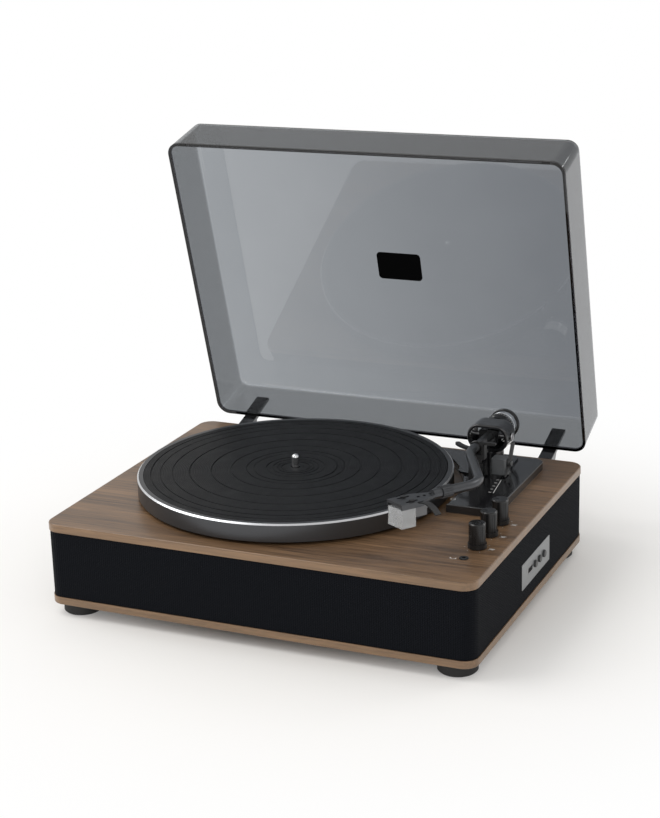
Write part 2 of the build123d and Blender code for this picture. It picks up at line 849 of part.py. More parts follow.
# Buttons that press the board's switches
stem_length = side_post_length - button_flange_height - switch_height - button_travel - button_gap
for k, (y, z) in enumerate(button_spots, start=1):
    with BuildPart() as push_button:
        with BuildSketch(side_plane):
            with Locations((y, z)):
                Circle(button_diameter / 2)
        extrude(amount=side_thickness + button_stand)
        chamfer(push_button.faces().sort_by(Axis.X)[-1].edges(), 0.5)
        with BuildSketch(side_plane.offset(-button_gap)):
            with Locations((y, z)):
                Circle(button_flange / 2)
        extrude(amount=-button_flange_height)
        with BuildSketch(side_plane):
            with Locations((y, z)):
                Circle(button_stem_diameter / 2)
        extrude(amount=-(button_gap + button_flange_height + stem_length - 0.2))
    push_button.part.label = f"push_button_{k}"
    export_step(push_button.part, f"parts/push_button_{k}.step")

# Rear terminal plate, its phono sockets, the adaptor's inlet and the rocker's frame
rear_plane = back_wall_plane.offset(-frame_inset)
phono_spots = [
    (-(phono_x + i * phono_spacing_x), middle_z + j * phono_spacing_z / 2) for i in (0, 1) for j in (-1, 1)
]
with BuildPart() as terminal_plate:
    with BuildSketch(rear_plane):
        with Locations((-terminal_x, middle_z)):
            RectangleRounded(terminal_length, terminal_height, 2)
    extrude(amount=terminal_thickness)
    with BuildSketch(rear_plane):
        with Locations(*phono_spots):
            Circle(phono_diameter / 2 + hole_gap)
        with Locations((-inlet_x, middle_z)):
            Circle(inlet_diameter / 2 + hole_gap)
        with Locations((-rocker_x, middle_z)):
            Rectangle(rocker_width + 2 * hole_gap, rocker_length + 2 * hole_gap)
    extrude(amount=terminal_thickness, mode=Mode.SUBTRACT)
terminal_plate.part.label = "terminal_plate"
export_step(terminal_plate.part, "parts/terminal_plate.step")

with BuildPart() as phono_sockets:
    with BuildSketch(rear_plane.offset(-3)):
        with Locations(*phono_spots):
            Circle(phono_diameter / 2)
    extrude(amount=3 + terminal_thickness + phono_length)
    with BuildSketch(rear_plane.offset(terminal_thickness)):
        with Locations(*phono_spots):
            Circle(phono_collar / 2)
    extrude(amount=1.2)
    with BuildSketch(rear_plane.offset(terminal_thickness)):
        with Locations(*phono_spots):
            Circle(phono_bore / 2)
    extrude(amount=phono_length, mode=Mode.SUBTRACT)
phono_sockets.part.label = "phono_sockets"
export_step(phono_sockets.part, "parts/phono_sockets.step")

with BuildPart() as power_inlet:
    with BuildSketch(rear_plane.offset(-inlet_depth)):
        with Locations((-inlet_x, middle_z)):
            Circle(inlet_diameter / 2)
    extrude(amount=inlet_depth + terminal_thickness + 0.5)
    with BuildSketch(rear_plane.offset(-inlet_depth + 1.5)):
        with Locations((-inlet_x, middle_z)):
            Circle(inlet_bore / 2)
            Circle(inlet_pin / 2, mode=Mode.SUBTRACT)
    extrude(amount=inlet_depth + terminal_thickness, mode=Mode.SUBTRACT)
power_inlet.part.label = "power_inlet"
export_step(power_inlet.part, "parts/power_inlet.step")

with BuildPart() as rocker_frame:
    with BuildSketch(rear_plane.offset(-rocker_depth)):
        with Locations((-rocker_x, middle_z)):
            Rectangle(rocker_width, rocker_length)
    extrude(amount=rocker_depth + terminal_thickness + 1)
    with BuildSketch(rear_plane.offset(-rocker_depth + 2)):
        with Locations((-rocker_x, middle_z)):
            Rectangle(rocker_width - 2 * rocker_frame_wall, rocker_length - 2 * rocker_frame_wall)
    extrude(amount=rocker_depth + terminal_thickness + 1, mode=Mode.SUBTRACT)
    with BuildSketch(Plane((rocker_x, 0, 0), x_dir=(0, 1, 0), z_dir=(1, 0, 0))):
        with Locations((rocker_axis_y, middle_z)):
            Circle(rocker_pin / 2)
    extrude(amount=rocker_width / 2, both=True)
rocker_frame.part.label = "rocker_frame"
export_step(rocker_frame.part, "parts/rocker_frame.step")

# Power rocker: a wedge-faced paddle on the pin across its frame
with BuildPart() as power_rocker:
    with BuildSketch(Plane((rocker_x, 0, 0), x_dir=(0, 1, 0), z_dir=(1, 0, 0))):
        with Locations((rocker_axis_y, middle_z)):
            Circle(rocker_pin / 2 + 2)
        with BuildLine():
            Polyline(
                (rocker_axis_y, middle_z - rocker_half),
                (rocker_axis_y + rocker_reach, middle_z - rocker_half),
                (rocker_axis_y + rocker_reach - rocker_dish, middle_z),
                (rocker_axis_y + rocker_reach, middle_z + rocker_half),
                (rocker_axis_y, middle_z + rocker_half),
                close=True,
            )
        make_face()
        with Locations((rocker_axis_y, middle_z)):
            Circle(rocker_pin / 2 + pivot_gap, mode=Mode.SUBTRACT)
    extrude(amount=rocker_width / 2 - rocker_frame_wall - rocker_gap, both=True)
power_rocker.part.label = "power_rocker"
export_step(power_rocker.part, "parts/power_rocker.step")

# Tonearm base: a glossy plate on the deck that follows the platter's edge, with a raised plinth
lift_x = arm_x
lift_y = arm_y - lift_forward
lift_plane = Plane((lift_x, lift_y, 0))
sweep_radius = platter_diameter / 2 + base_platter_gap
base_top_z = deck_z + base_thickness
plinth_z = base_top_z + plinth_height
with BuildPart() as arm_base:
    with BuildSketch(Plane.XY.offset(deck_z)) as base_outline:
        with Locations(((base_left_x + base_right_x) / 2, (base_front_y + base_back_y) / 2)):
            RectangleRounded(base_right_x - base_left_x, base_back_y - base_front_y, base_corner)
        with Locations((spindle_x, spindle_y)):
            Circle(sweep_radius, mode=Mode.SUBTRACT)
    extrude(amount=base_thickness)
    fillet(top_edges(arm_base), base_rounding)
    with BuildSketch(Plane.XY.offset(base_top_z)):
        with Locations((arm_x + (plinth_right - plinth_left) / 2, arm_y + (plinth_back - plinth_front) / 2)):
            RectangleRounded(plinth_left + plinth_right, plinth_front + plinth_back, plinth_corner)
    extrude(amount=plinth_height)
    disc(lift_plane, base_top_z, lift_sleeve_diameter, lift_sleeve_height)
    disc(
        lift_plane,
        deck_z + 1,
        lift_pin_diameter + 2 * lift_pin_gap,
        base_thickness + lift_sleeve_height,
        Mode.SUBTRACT,
    )
arm_base.part.label = "arm_base"
export_step(arm_base.part, "parts/arm_base.step")

# Pivot pillar: a column that holds the arm's upright pin
gimbal_bottom_z = arm_z - gimbal_height / 2
pillar_top_z = gimbal_bottom_z - pillar_cap_gap
with BuildPart() as pivot_pillar:
    disc(pivot_plane, plinth_z, pillar_diameter, pillar_top_z - plinth_z)
    chamfer(top_edges(pivot_pillar), 1)
    disc(
        pivot_plane,
        pillar_top_z - yaw_pin_length - 1,
        yaw_pin_diameter + 2 * pivot_gap,
        yaw_pin_length + 1,
        Mode.SUBTRACT,
    )
pivot_pillar.part.label = "pivot_pillar"
export_step(pivot_pillar.part, "parts/pivot_pillar.step")

# Gimbal: an oval shell, open in front and behind, that turns on the pillar
gimbal_front = Plane((arm_x, arm_y - gimbal_depth / 2, arm_z), x_dir=(1, 0, 0), z_dir=(0, -1, 0))
with BuildPart() as gimbal:
    with BuildSketch(gimbal_front):
        RectangleRounded(gimbal_width, gimbal_height, gimbal_corner)
    extrude(amount=-gimbal_depth)
    fillet(gimbal.faces().sort_by(Axis.Y)[0].edges(), gimbal_rounding)
    fillet(gimbal.faces().sort_by(Axis.Y)[-1].edges(), gimbal_rounding)
    with BuildSketch(gimbal_front):
        RectangleRounded(
            gimbal_width - 2 * gimbal_wall, gimbal_height - 2 * gimbal_wall, gimbal_corner - gimbal_wall
        )
    extrude(amount=-gimbal_depth, mode=Mode.SUBTRACT)
    disc(pivot_plane, pillar_top_z - yaw_pin_length, yaw_pin_diameter, yaw_pin_length + gimbal_wall)
    with BuildSketch(Plane((arm_x, arm_y, arm_z), x_dir=(0, 1, 0), z_dir=(1, 0, 0))):
        Circle(pivot_screw_diameter / 2)
    extrude(amount=gimbal_width, both=True, mode=Mode.SUBTRACT)
gimbal.part.label = "gimbal"
export_step(gimbal.part, "parts/gimbal.step")

# Pivot screws through the gimbal's sides, whose tips carry the arm's block
screw_plane = Plane((arm_x, arm_y, arm_z), x_dir=(0, 1, 0), z_dir=(1, 0, 0))
screw_tip = pivot_block_width / 2 - pivot_screw_bite
with BuildPart() as pivot_screws:
    for side in (-1, 1):
        with BuildSketch(screw_plane.offset(side * screw_tip)):
            Circle(pivot_screw_diameter / 2)
        extrude(amount=side * (gimbal_width / 2 + 0.6 - screw_tip))
pivot_screws.part.label = "pivot_screws"
export_step(pivot_screws.part, "parts/pivot_screws.step")

# Pivot block with the stub that the counterweight rides on
block_front = pivot_block_depth / 2
stub_end = weight_start + weight_length - weight_floor
section_plane = Plane(arm_plane.origin, x_dir=arm_plane.x_dir, z_dir=-arm_plane.y_dir)
with BuildPart() as pivot_block:
    with BuildSketch(section_plane.offset(-block_front)):
        RectangleRounded(pivot_block_width, pivot_block_height, 2)
    extrude(amount=pivot_block_depth)
    with BuildSketch(section_plane.offset(-block_front)):
        Circle(stub_diameter / 2)
    extrude(amount=-(stub_end - block_front))
    with BuildSketch(screw_plane.offset(-pivot_block_width / 2)):
        Circle(pivot_screw_diameter / 2 + pivot_gap)
    extrude(amount=pivot_screw_bite + pivot_gap, mode=Mode.SUBTRACT)
    with BuildSketch(screw_plane.offset(pivot_block_width / 2)):
        Circle(pivot_screw_diameter / 2 + pivot_gap)
    extrude(amount=-pivot_screw_bite - pivot_gap, mode=Mode.SUBTRACT)
pivot_block.part.label = "pivot_block"
export_step(pivot_block.part, "parts/pivot_block.step")

# Arm tube: straight runs joined by two bends, swept hollow
head_turn = radians(head_angle)
neck_x = tube_bend_x - neck_reach * sin(head_turn)
neck_y = -tube_bend_y - neck_reach * cos(head_turn)
with BuildPart() as arm_tube:
    with BuildLine(arm_plane) as tube_route:
        FilletPolyline(
            (0, -block_front),
            (0, -tube_first_corner),
            (tube_bend_x, -tube_bend_y),
            (neck_x, neck_y),
            radius=(tube_first_radius, tube_bend_radius),
        )
    with BuildSketch(section_plane.offset(block_front)):
        Circle(tube_diameter / 2)
        Circle(tube_bore / 2, mode=Mode.SUBTRACT)
    sweep()
arm_tube.part.label = "arm_tube"
export_step(arm_tube.part, "parts/arm_tube.step")

# Planes at the arm's neck: head_plane looks down on the headshell, whose nose points to -Y there
head_x_dir = arm_plane.x_dir * cos(head_turn) - arm_plane.y_dir * sin(head_turn)
head_plane = Plane(arm_plane.from_local_coords((neck_x, neck_y, 0)), x_dir=head_x_dir, z_dir=arm_plane.z_dir)
neck_plane = Plane(head_plane.origin, x_dir=head_plane.x_dir, z_dir=-head_plane.y_dir)
with BuildPart() as arm_collar:
    with BuildSketch(neck_plane.offset(hole_gap)):
        Circle(collar_diameter / 2)
        with PolarLocations(collar_diameter / 2, collar_grooves):
            Circle(0.5, mode=Mode.SUBTRACT)
    extrude(amount=collar_length)
arm_collar.part.label = "arm_collar"
export_step(arm_collar.part, "parts/arm_collar.step")

# Headshell: a slotted plate with turned-down edges and a round neck
head_start = collar_length + 2 * hole_gap
head_nose = head_start + head_length
head_floor = head_top - head_thickness
with BuildPart() as headshell:
    with BuildSketch(head_plane.offset(head_floor)):
        with BuildLine():
            Polyline(
                (-head_neck_width / 2, -head_start),
                (head_neck_width / 2, -head_start),
                (head_neck_width / 2, -head_start - head_neck_length),
                (head_width / 2, -head_nose + head_straight),
                (head_width / 2, -head_nose),
                (-head_width / 2, -head_nose),
                (-head_width / 2, -head_nose + head_straight),
                (-head_neck_width / 2, -head_start - head_neck_length),
                close=True,
            )
        make_face()
    extrude(amount=head_thickness)
    with BuildSketch(head_plane.offset(head_floor)):
        for side in (-1, 1):
            with Locations((side * (head_width - head_lip_width) / 2, -head_nose + head_straight / 2)):
                Rectangle(head_lip_width, head_straight)
    extrude(amount=-head_lip)
    with BuildSketch(head_plane.offset(head_floor)):
        for side in (-1, 1):
            with Locations((side * head_slot_spacing / 2, -head_nose + head_slot_back)):
                SlotOverall(head_slot_length, head_slot_width, rotation=90)
        for k in range(3):
            with Locations((0, -head_nose + head_hole_back + k * head_hole_pitch)):
                Circle(head_hole_diameter / 2)
    extrude(amount=head_thickness, mode=Mode.SUBTRACT)
    with BuildSketch(neck_plane.offset(head_start)):
        Circle(head_neck_width / 2)
    extrude(amount=head_neck_length)
headshell.part.label = "headshell"
export_step(headshell.part, "parts/headshell.step")

# Finger lift: a thin tab that curls out and up from the headshell's right edge
lift_root = -head_nose + head_straight - lift_tab_width
with BuildPart() as finger_lift:
    with BuildSketch(Plane(head_plane.from_local_coords((head_width / 2, lift_root, head_top - 0.6)), x_dir=head_plane.x_dir, z_dir=-head_plane.y_dir)):
        with BuildLine():
            ThreePointArc((0, 0), (lift_tab_length * 0.55, 0.8), (lift_tab_length, -5))
            Line((lift_tab_length, -5), (lift_tab_length - 0.7, -6))
            ThreePointArc((lift_tab_length - 0.7, -6), (lift_tab_length * 0.55, -lift_tab_thickness + 0.8), (0, -lift_tab_thickness))
            Line((0, -lift_tab_thickness), (0, 0))
        make_face()
    extrude(amount=lift_tab_width, both=True)
finger_lift.part.label = "finger_lift"
export_step(finger_lift.part, "parts/finger_lift.step")

# Cartridge under the headshell, with four contact pins behind it
cartridge_front = -head_nose + cartridge_back
cartridge_middle = cartridge_front + cartridge_length / 2
cartridge_floor = head_floor - cartridge_height
with BuildPart() as cartridge:
    slab(head_plane, cartridge_floor, 0, cartridge_middle, cartridge_width, cartridge_length, cartridge_height)
    with BuildSketch(Plane(head_plane.from_local_coords((0, cartridge_front + cartridge_length, head_floor - cartridge_height / 2)), x_dir=head_plane.x_dir, z_dir=head_plane.y_dir)):
        with GridLocations(4, 4, 2, 2):
            Circle(cartridge_pin_diameter / 2)
    extrude(amount=cartridge_pin_length)
cartridge.part.label = "cartridge"
export_step(cartridge.part, "parts/cartridge.step")

with BuildPart() as cartridge_screws:
    with BuildSketch(head_plane.offset(head_top)):
        for side in (-1, 1):
            with Locations((side * head_slot_spacing / 2, -head_nose + head_slot_back)):
                Circle(cartridge_screw_diameter)
    extrude(amount=1.4)
    with BuildSketch(head_plane.offset(head_floor)):
        for side in (-1, 1):
            with Locations((side * head_slot_spacing / 2, -head_nose + head_slot_back)):
                Circle(cartridge_screw_diameter / 2)
    extrude(amount=head_thickness)
cartridge_screws.part.label = "cartridge_screws"
export_step(cartridge_screws.part, "parts/cartridge_screws.step")

# Stylus holder with its cantilever, and the clear guard that slides off it
stylus_floor = cartridge_floor - stylus_height
with BuildPart() as stylus:
    slab(head_plane, stylus_floor, 0, cartridge_front + stylus_length / 2, stylus_width, stylus_length, stylus_height)
    with BuildSketch(Plane(head_plane.from_local_coords((0, cartridge_front + stylus_length / 2, stylus_floor + 1)), x_dir=head_plane.x_dir, z_dir=-head_plane.y_dir - head_plane.z_dir * 0.4)):
        Circle(cantilever_diameter / 2)
    extrude(amount=cantilever_length)
stylus.part.label = "stylus"
export_step(stylus.part, "parts/stylus.step")

guard_nose = cartridge_front - guard_reach - guard_wall
guard_top = head_floor - head_lip - guard_gap
guard_floor = guard_top - guard_height
with BuildPart() as stylus_guard:
    slab(head_plane, guard_floor, 0, guard_nose + guard_length / 2, guard_width + 2 * guard_wall, guard_length, guard_height)
    slab(
        head_plane,
        guard_floor + guard_wall,
        0,
        guard_nose + guard_wall + guard_length / 2,
        guard_width,
        guard_length,
        guard_height,
        Mode.SUBTRACT,
    )
stylus_guard.part.label = "stylus_guard"
export_step(stylus_guard.part, "parts/stylus_guard.step")

# Counterweight with its bright band, and the numbered dial in front of it
with BuildPart() as counterweight:
    with BuildSketch(section_plane.offset(-weight_start)):
        Circle(weight_diameter / 2 - weight_band_inset)
    extrude(amount=-weight_band)
    with BuildSketch(section_plane.offset(-weight_start - weight_band)):
        Circle(weight_diameter / 2)
    extrude(amount=weight_band - weight_length)
    chamfer(counterweight.faces().sort_by(Axis.Y)[-1].edges(), weight_rounding)
    with BuildSketch(section_plane.offset(-weight_start)):
        Circle(stub_diameter / 2 + weight_gap)
    extrude(amount=-(weight_length - weight_floor + hole_gap), mode=Mode.SUBTRACT)
counterweight.part.label = "counterweight"
export_step(counterweight.part, "parts/counterweight.step")

dial_start = weight_start - dial_length - dial_gap
with BuildPart() as weight_dial:
    with BuildSketch(section_plane.offset(-dial_start)):
        Circle(dial_front_diameter / 2)
    with BuildSketch(section_plane.offset(-dial_start - dial_length)):
        Circle(dial_diameter / 2)
    loft()
    with BuildSketch(section_plane.offset(-dial_start)):
        Circle(stub_diameter / 2 + weight_gap)
    extrude(amount=-dial_length, mode=Mode.SUBTRACT)
weight_dial.part.label = "weight_dial"
export_step(weight_dial.part, "parts/weight_dial.step")

# Cue block on the plinth, with the pin that its lever turns on
cue_y = arm_y - cue_block_forward
cue_block_right = arm_x + cue_block_left + cue_block_width
cue_plane = Plane((cue_block_right, cue_y, cue_pivot_z), x_dir=(0, -1, 0), z_dir=(-1, 0, 0))
with BuildPart() as cue_block:
    with BuildSketch(Plane.XY.offset(plinth_z)):
        with Locations((cue_block_right - cue_block_width / 2, cue_y)):
            RectangleRounded(cue_block_width, cue_block_depth, 2)
    extrude(amount=cue_block_height)
    with BuildSketch(cue_plane):
        Circle(cue_pin_diameter / 2)
    extrude(amount=-2 * cue_lever_gap - cue_lever_thickness)
    with BuildSketch(cue_plane.offset(-2 * cue_lever_gap - cue_lever_thickness)):
        Circle(cue_pin_head / 2)
    extrude(amount=-1)
cue_block.part.label = "cue_block"
export_step(cue_block.part, "parts/cue_block.step")

# Cue lever: a flat lever that leans back from its pin, and a rod to pull up in front
lever_plane = cue_plane.offset(-cue_lever_gap)
lean = radians(cue_lever_lean)
rod_turn = radians(cue_rod_angle)
rod_direction = Vector(0, -cos(rod_turn), -sin(rod_turn))
rod_x = cue_block_right + cue_lever_gap + cue_lever_thickness / 2
rod_plane = Plane(
    Vector(rod_x, cue_y, cue_pivot_z) + rod_direction * (cue_lever_boss / 2 - 0.8),
    x_dir=(1, 0, 0),
    z_dir=rod_direction,
)
with BuildPart() as cue_lever:
    with BuildSketch(lever_plane):
        Circle(cue_lever_boss / 2)
        with BuildLine():
            lever_middle = Line((0, 0), (-cue_lever_length * sin(lean), cue_lever_length * cos(lean)))
        SlotCenterPoint(lever_middle @ 0.5, lever_middle @ 1, cue_lever_width)
    extrude(amount=-cue_lever_thickness)
    with BuildSketch(rod_plane):
        Circle(cue_rod_diameter / 2)
    extrude(amount=cue_rod_length - cue_lever_boss / 2)
    with BuildSketch(lever_plane):
        Circle(cue_pin_diameter / 2 + pivot_gap)
    extrude(amount=-cue_lever_thickness, mode=Mode.SUBTRACT)
cue_lever.part.label = "cue_lever"
export_step(cue_lever.part, "parts/cue_lever.step")

# Arm lift: a pin in its sleeve that carries a curved bar just under the tube
lift_top_z = arm_z + lift_forward * tan(tilt) - tube_diameter / 2 - lift_bar_gap
lift_bar_z = lift_top_z - lift_bar_thickness
with BuildPart() as arm_lift:
    with BuildSketch(Plane.XY.offset(lift_bar_z)):
        SlotArc(CenterArc((arm_x, arm_y), lift_forward, lift_bar_start, lift_bar_sweep), lift_bar_width)
    extrude(amount=lift_bar_thickness)
    disc(lift_plane, lift_bar_z - lift_pin_length, lift_pin_diameter, lift_pin_length)
arm_lift.part.label = "arm_lift"
export_step(arm_lift.part, "parts/arm_lift.step")

# Arm rest: a post under the tube with a wall on its right, and the pin of its latch
rest_y = arm_y - rest_forward
rest_top_z = arm_z + (rest_forward - rest_depth / 2) * tan(tilt) - tube_diameter / 2 - rest_gap
rest_side = tube_diameter / 2 + rest_side_gap
latch_z = rest_top_z + tube_diameter + latch_lift - rest_wall
latch_x = arm_x + rest_side + rest_wall / 2
latch_plane = Plane((latch_x, rest_y - rest_depth / 2, latch_z), x_dir=(1, 0, 0), z_dir=(0, -1, 0))
with BuildPart() as arm_rest:
    disc(Plane((arm_x, rest_y, 0)), base_top_z, rest_foot, rest_foot_height)
    slab(Plane.XY, base_top_z, arm_x, rest_y, rest_width, rest_depth, rest_top_z - base_top_z)
    with BuildSketch(latch_plane):
        with Locations((0, (rest_top_z - rest_shelf - latch_z) / 2)):
            Rectangle(rest_wall, latch_z - rest_top_z + rest_shelf)
        Circle(rest_wall / 2)
        with Locations((-rest_side - rest_wall / 2 + rest_width / 2, rest_top_z - rest_shelf / 2 - latch_z)):
            Rectangle(rest_side + rest_wall - rest_width / 2, rest_shelf, align=(Align.MIN, Align.CENTER))
    extrude(amount=-rest_depth)
    with BuildSketch(latch_plane):
        Circle(latch_pin_diameter / 2)
    extrude(amount=latch_width + 2 * rest_gap)
    with BuildSketch(latch_plane.offset(latch_width + 2 * rest_gap)):
        Circle(latch_pin_diameter / 2 + 0.9)
    extrude(amount=0.8)
arm_rest.part.label = "arm_rest"
export_step(arm_rest.part, "parts/arm_rest.step")

# Rest latch: a small bar that stands open to the right and swings over the tube
with BuildPart() as rest_latch:
    with BuildSketch(latch_plane.offset(rest_gap)):
        Circle(latch_pin_diameter / 2 + 1.1)
        with Locations((latch_length / 2, 0)):
            SlotOverall(latch_length + latch_thickness, latch_thickness)
        Circle(latch_pin_diameter / 2 + pivot_gap, mode=Mode.SUBTRACT)
    extrude(amount=latch_width)
rest_latch.part.label = "rest_latch"
export_step(rest_latch.part, "parts/rest_latch.step")

# Lid: a smoked clear box, open below, drafted and rounded on top, modelled in its open pose
lid_middle_y = -rim_back - lid_depth / 2
lid_top = rim_lift + lid_height
lid_up = Axis(lid_plane.origin, lid_plane.z_dir)
with BuildPart() as lid:
    with BuildSketch(lid_plane.offset(rim_lift)):
        with Locations((0, lid_middle_y)):
            RectangleRounded(lid_width, lid_depth, lid_corner)
    extrude(amount=lid_height, taper=lid_draft)
    fillet(lid.faces().sort_by(lid_up)[-1].edges(), lid_rounding)
lid_inside_width = lid_width - 2 * lid_wall
lid_inside_depth = lid_depth - 2 * lid_wall
with BuildPart() as lid_inside:
    with BuildSketch(lid_plane.offset(rim_lift)):
        with Locations((0, lid_middle_y)):
            RectangleRounded(lid_inside_width, lid_inside_depth, lid_corner - lid_wall)
    extrude(amount=lid_height - lid_wall, taper=lid_draft)
    fillet(lid_inside.faces().sort_by(lid_up)[-1].edges(), lid_rounding - lid_wall)
with lid:
    add(lid_inside.part, mode=Mode.SUBTRACT)
lid.part.label = "lid"
export_step(lid.part, "parts/lid.step")

# Hinge sockets on the back wall: two plates with a pair of cheeks and a pin each
socket_width = hinge_width + 2 * (hinge_cheek_gap + hinge_cheek)
socket_z = ceiling_z - hinge_socket_height / 2
frame_back_y = back_y - frame_inset
with BuildPart() as hinge_sockets:
    for side in (-1, 1):
        socket_x = side * hinge_x
        with BuildSketch(Plane((socket_x, frame_back_y, socket_z), x_dir=(-1, 0, 0), z_dir=(0, 1, 0))):
            Rectangle(socket_width, hinge_socket_height)
        extrude(amount=hinge_socket_thickness)
        for cheek in (-1, 1):
            cheek_x = socket_x + cheek * (hinge_width + hinge_cheek) / 2 + cheek * hinge_cheek_gap
            with BuildSketch(Plane((cheek_x, 0, 0), x_dir=(0, 1, 0), z_dir=(1, 0, 0))):
                with Locations((hinge_y, hinge_z)):
                    Circle(hinge_barrel / 2)
                with BuildLine():
                    Polyline(
                        (frame_back_y + hinge_socket_thickness, hinge_z + hinge_barrel / 2),
                        (hinge_y, hinge_z + hinge_barrel / 2),
                        (hinge_y, hinge_z - hinge_barrel / 2),
                        (frame_back_y + hinge_socket_thickness, hinge_z - 2 * hinge_barrel),
                        close=True,
                    )
                make_face()
            extrude(amount=hinge_cheek / 2, both=True)
        with BuildSketch(Plane((socket_x, hinge_y, hinge_z), x_dir=(0, 1, 0), z_dir=(1, 0, 0))):
            Circle(hinge_pin_diameter / 2)
        extrude(amount=hinge_width / 2 + 1, both=True)
hinge_sockets.part.label = "hinge_sockets"
export_step(hinge_sockets.part, "parts/hinge_sockets.step")

# Hinge brackets: a barrel on each pin, and a strap that rises flush with the lid's rear wall
strap_top = rim_lift + hinge_bracket_length
strap_lean = hinge_bracket_length * tan(radians(lid_draft))
strap_front = hinge_clear - hinge_back
with BuildPart() as hinge_brackets:
    for side in (-1, 1):
        bracket_origin = lid_plane.from_local_coords((side * hinge_x, 0, 0))
        with BuildSketch(Plane(bracket_origin, x_dir=lid_plane.y_dir, z_dir=lid_plane.x_dir)):
            Circle(hinge_barrel / 2)
            with BuildLine():
                Polyline(
                    (strap_front, -hinge_barrel / 4),
                    (strap_front, rim_lift),
                    (-rim_back, rim_lift),
                    (-rim_back - strap_lean, strap_top),
                    (-rim_back - strap_lean + hinge_bracket_thickness, strap_top),
                    (strap_front + hinge_bracket_thickness, rim_lift),
                    (0, hinge_barrel / 2),
                    (0, -hinge_barrel / 4),
                    close=True,
                )
            make_face()
            Circle(hinge_pin_diameter / 2 + hinge_pin_gap, mode=Mode.SUBTRACT)
        extrude(amount=hinge_width / 2, both=True)
hinge_brackets.part.label = "hinge_brackets"
export_step(hinge_brackets.part, "parts/hinge_brackets.step")

# Soft pad inside the lid, and the bumpers under its front corners
with BuildPart() as lid_pad:
    with BuildSketch(lid_plane.offset(lid_top - lid_wall)):
        with Locations((pad_x, -rim_back - pad_from_hinge_edge)):
            RectangleRounded(pad_length, pad_width, pad_corner)
    extrude(amount=-pad_thickness)
lid_pad.part.label = "lid_pad"
export_step(lid_pad.part, "parts/lid_pad.step")

bumper_y = -rim_back - lid_depth + lid_wall / 2
with BuildPart() as lid_bumpers:
    with BuildSketch(lid_plane.offset(rim_lift)):
        for side in (-1, 1):
            with Locations((side * (lid_width / 2 - bumper_inset - bumper_length / 2), bumper_y)):
                RectangleRounded(bumper_length, bumper_width, 1)
    extrude(amount=-bumper_height)
lid_bumpers.part.label = "lid_bumpers"
export_step(lid_bumpers.part, "parts/lid_bumpers.step")
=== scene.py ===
# %% [markdown]
# # Dressing a record player
#
# This lesson takes a record player whose parts were drawn as exact solids and gives it the
# looks of the real thing: walnut veneer, woven speaker cloth, a cast platter with a rubber mat,
# a gunmetal tonearm and a smoked lid. The solids stay where they are. What we add is the finish
# of each surface, and small pieces that are too fine for the solids, such as printed marks.
#
# Everything is in metres. +X is to the right, +Y to the rear and +Z up.

# %% Load the frame
import json
import math

import bpy
from mathutils import Matrix, Vector

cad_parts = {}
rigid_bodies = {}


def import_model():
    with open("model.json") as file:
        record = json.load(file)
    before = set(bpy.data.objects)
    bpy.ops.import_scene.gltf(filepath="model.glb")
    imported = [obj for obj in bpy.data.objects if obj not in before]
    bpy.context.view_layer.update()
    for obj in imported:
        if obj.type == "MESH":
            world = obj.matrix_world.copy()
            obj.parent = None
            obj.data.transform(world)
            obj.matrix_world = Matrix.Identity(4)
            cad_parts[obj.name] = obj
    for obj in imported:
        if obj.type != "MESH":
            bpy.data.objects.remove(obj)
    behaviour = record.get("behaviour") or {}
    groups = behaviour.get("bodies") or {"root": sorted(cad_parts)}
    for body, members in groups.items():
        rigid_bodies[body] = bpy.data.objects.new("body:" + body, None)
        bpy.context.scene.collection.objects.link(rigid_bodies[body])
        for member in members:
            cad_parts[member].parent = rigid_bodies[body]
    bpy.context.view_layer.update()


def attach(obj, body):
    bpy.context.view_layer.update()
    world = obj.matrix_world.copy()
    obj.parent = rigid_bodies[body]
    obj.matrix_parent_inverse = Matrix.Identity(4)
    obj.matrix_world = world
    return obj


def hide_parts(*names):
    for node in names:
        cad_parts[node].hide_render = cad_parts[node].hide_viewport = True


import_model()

# %% [markdown]
# The places below repeat the solids' main sizes. A new piece then sits where the solid it
# belongs to sits, and nothing has to be fitted by eye.

# %% Places that many cells use
DECK_Y = -0.0377
DECK_TOP = 0.091
SPINDLE = Vector((-0.030, DECK_Y + 0.0055, 0.0))
ARM = Vector((0.133, DECK_Y + 0.105, 0.130))
ARM_TILT = math.radians(2.0)
HINGE = Vector((0.0, DECK_Y + 0.17455, 0.077))
LID_OPEN = math.radians(74.5)
RIM_LIFT = 0.0147
LID_HEIGHT = 0.056
arm_frame = Matrix.Translation(ARM) @ Matrix.Rotation(-ARM_TILT, 4, "X")
print("arm looks along", (arm_frame.to_3x3() @ Vector((0, -1, 0))))

# %% [markdown]
# ## Camera
#
# The photograph was taken from the right of the front and a little above. The numbers come from
# lining up the case's straight edges with the picture, so the camera sees the same perspective.

# %% Camera
azimuth = math.radians(24.03)
elevation = math.radians(17.72)
roll = math.radians(-1.575)
back = Vector(
    (
        math.sin(azimuth) * math.cos(elevation),
        -math.cos(azimuth) * math.cos(elevation),
        math.sin(elevation),
    )
)
level = Vector((math.cos(azimuth), math.sin(azimuth), 0.0))
upright = back.cross(level)
right = level * math.cos(roll) + upright * math.sin(roll)
upward = upright * math.cos(roll) - level * math.sin(roll)
camera_data = bpy.data.cameras.new("camera")
camera_data.sensor_width = 36.0
camera_data.sensor_fit = "AUTO"
camera_data.lens = 81.54
camera_data.shift_x = -0.0105
camera_data.clip_end = 20.0
camera = bpy.data.objects.new("camera", camera_data)
bpy.context.scene.collection.objects.link(camera)
camera_place = (0.6908, -1.5444, 0.7031)
camera_turn = Matrix((right, upward, back)).transposed().to_4x4()
camera.matrix_world = Matrix.Translation(camera_place) @ camera_turn
bpy.context.scene.camera = camera
print("camera at", camera.location)

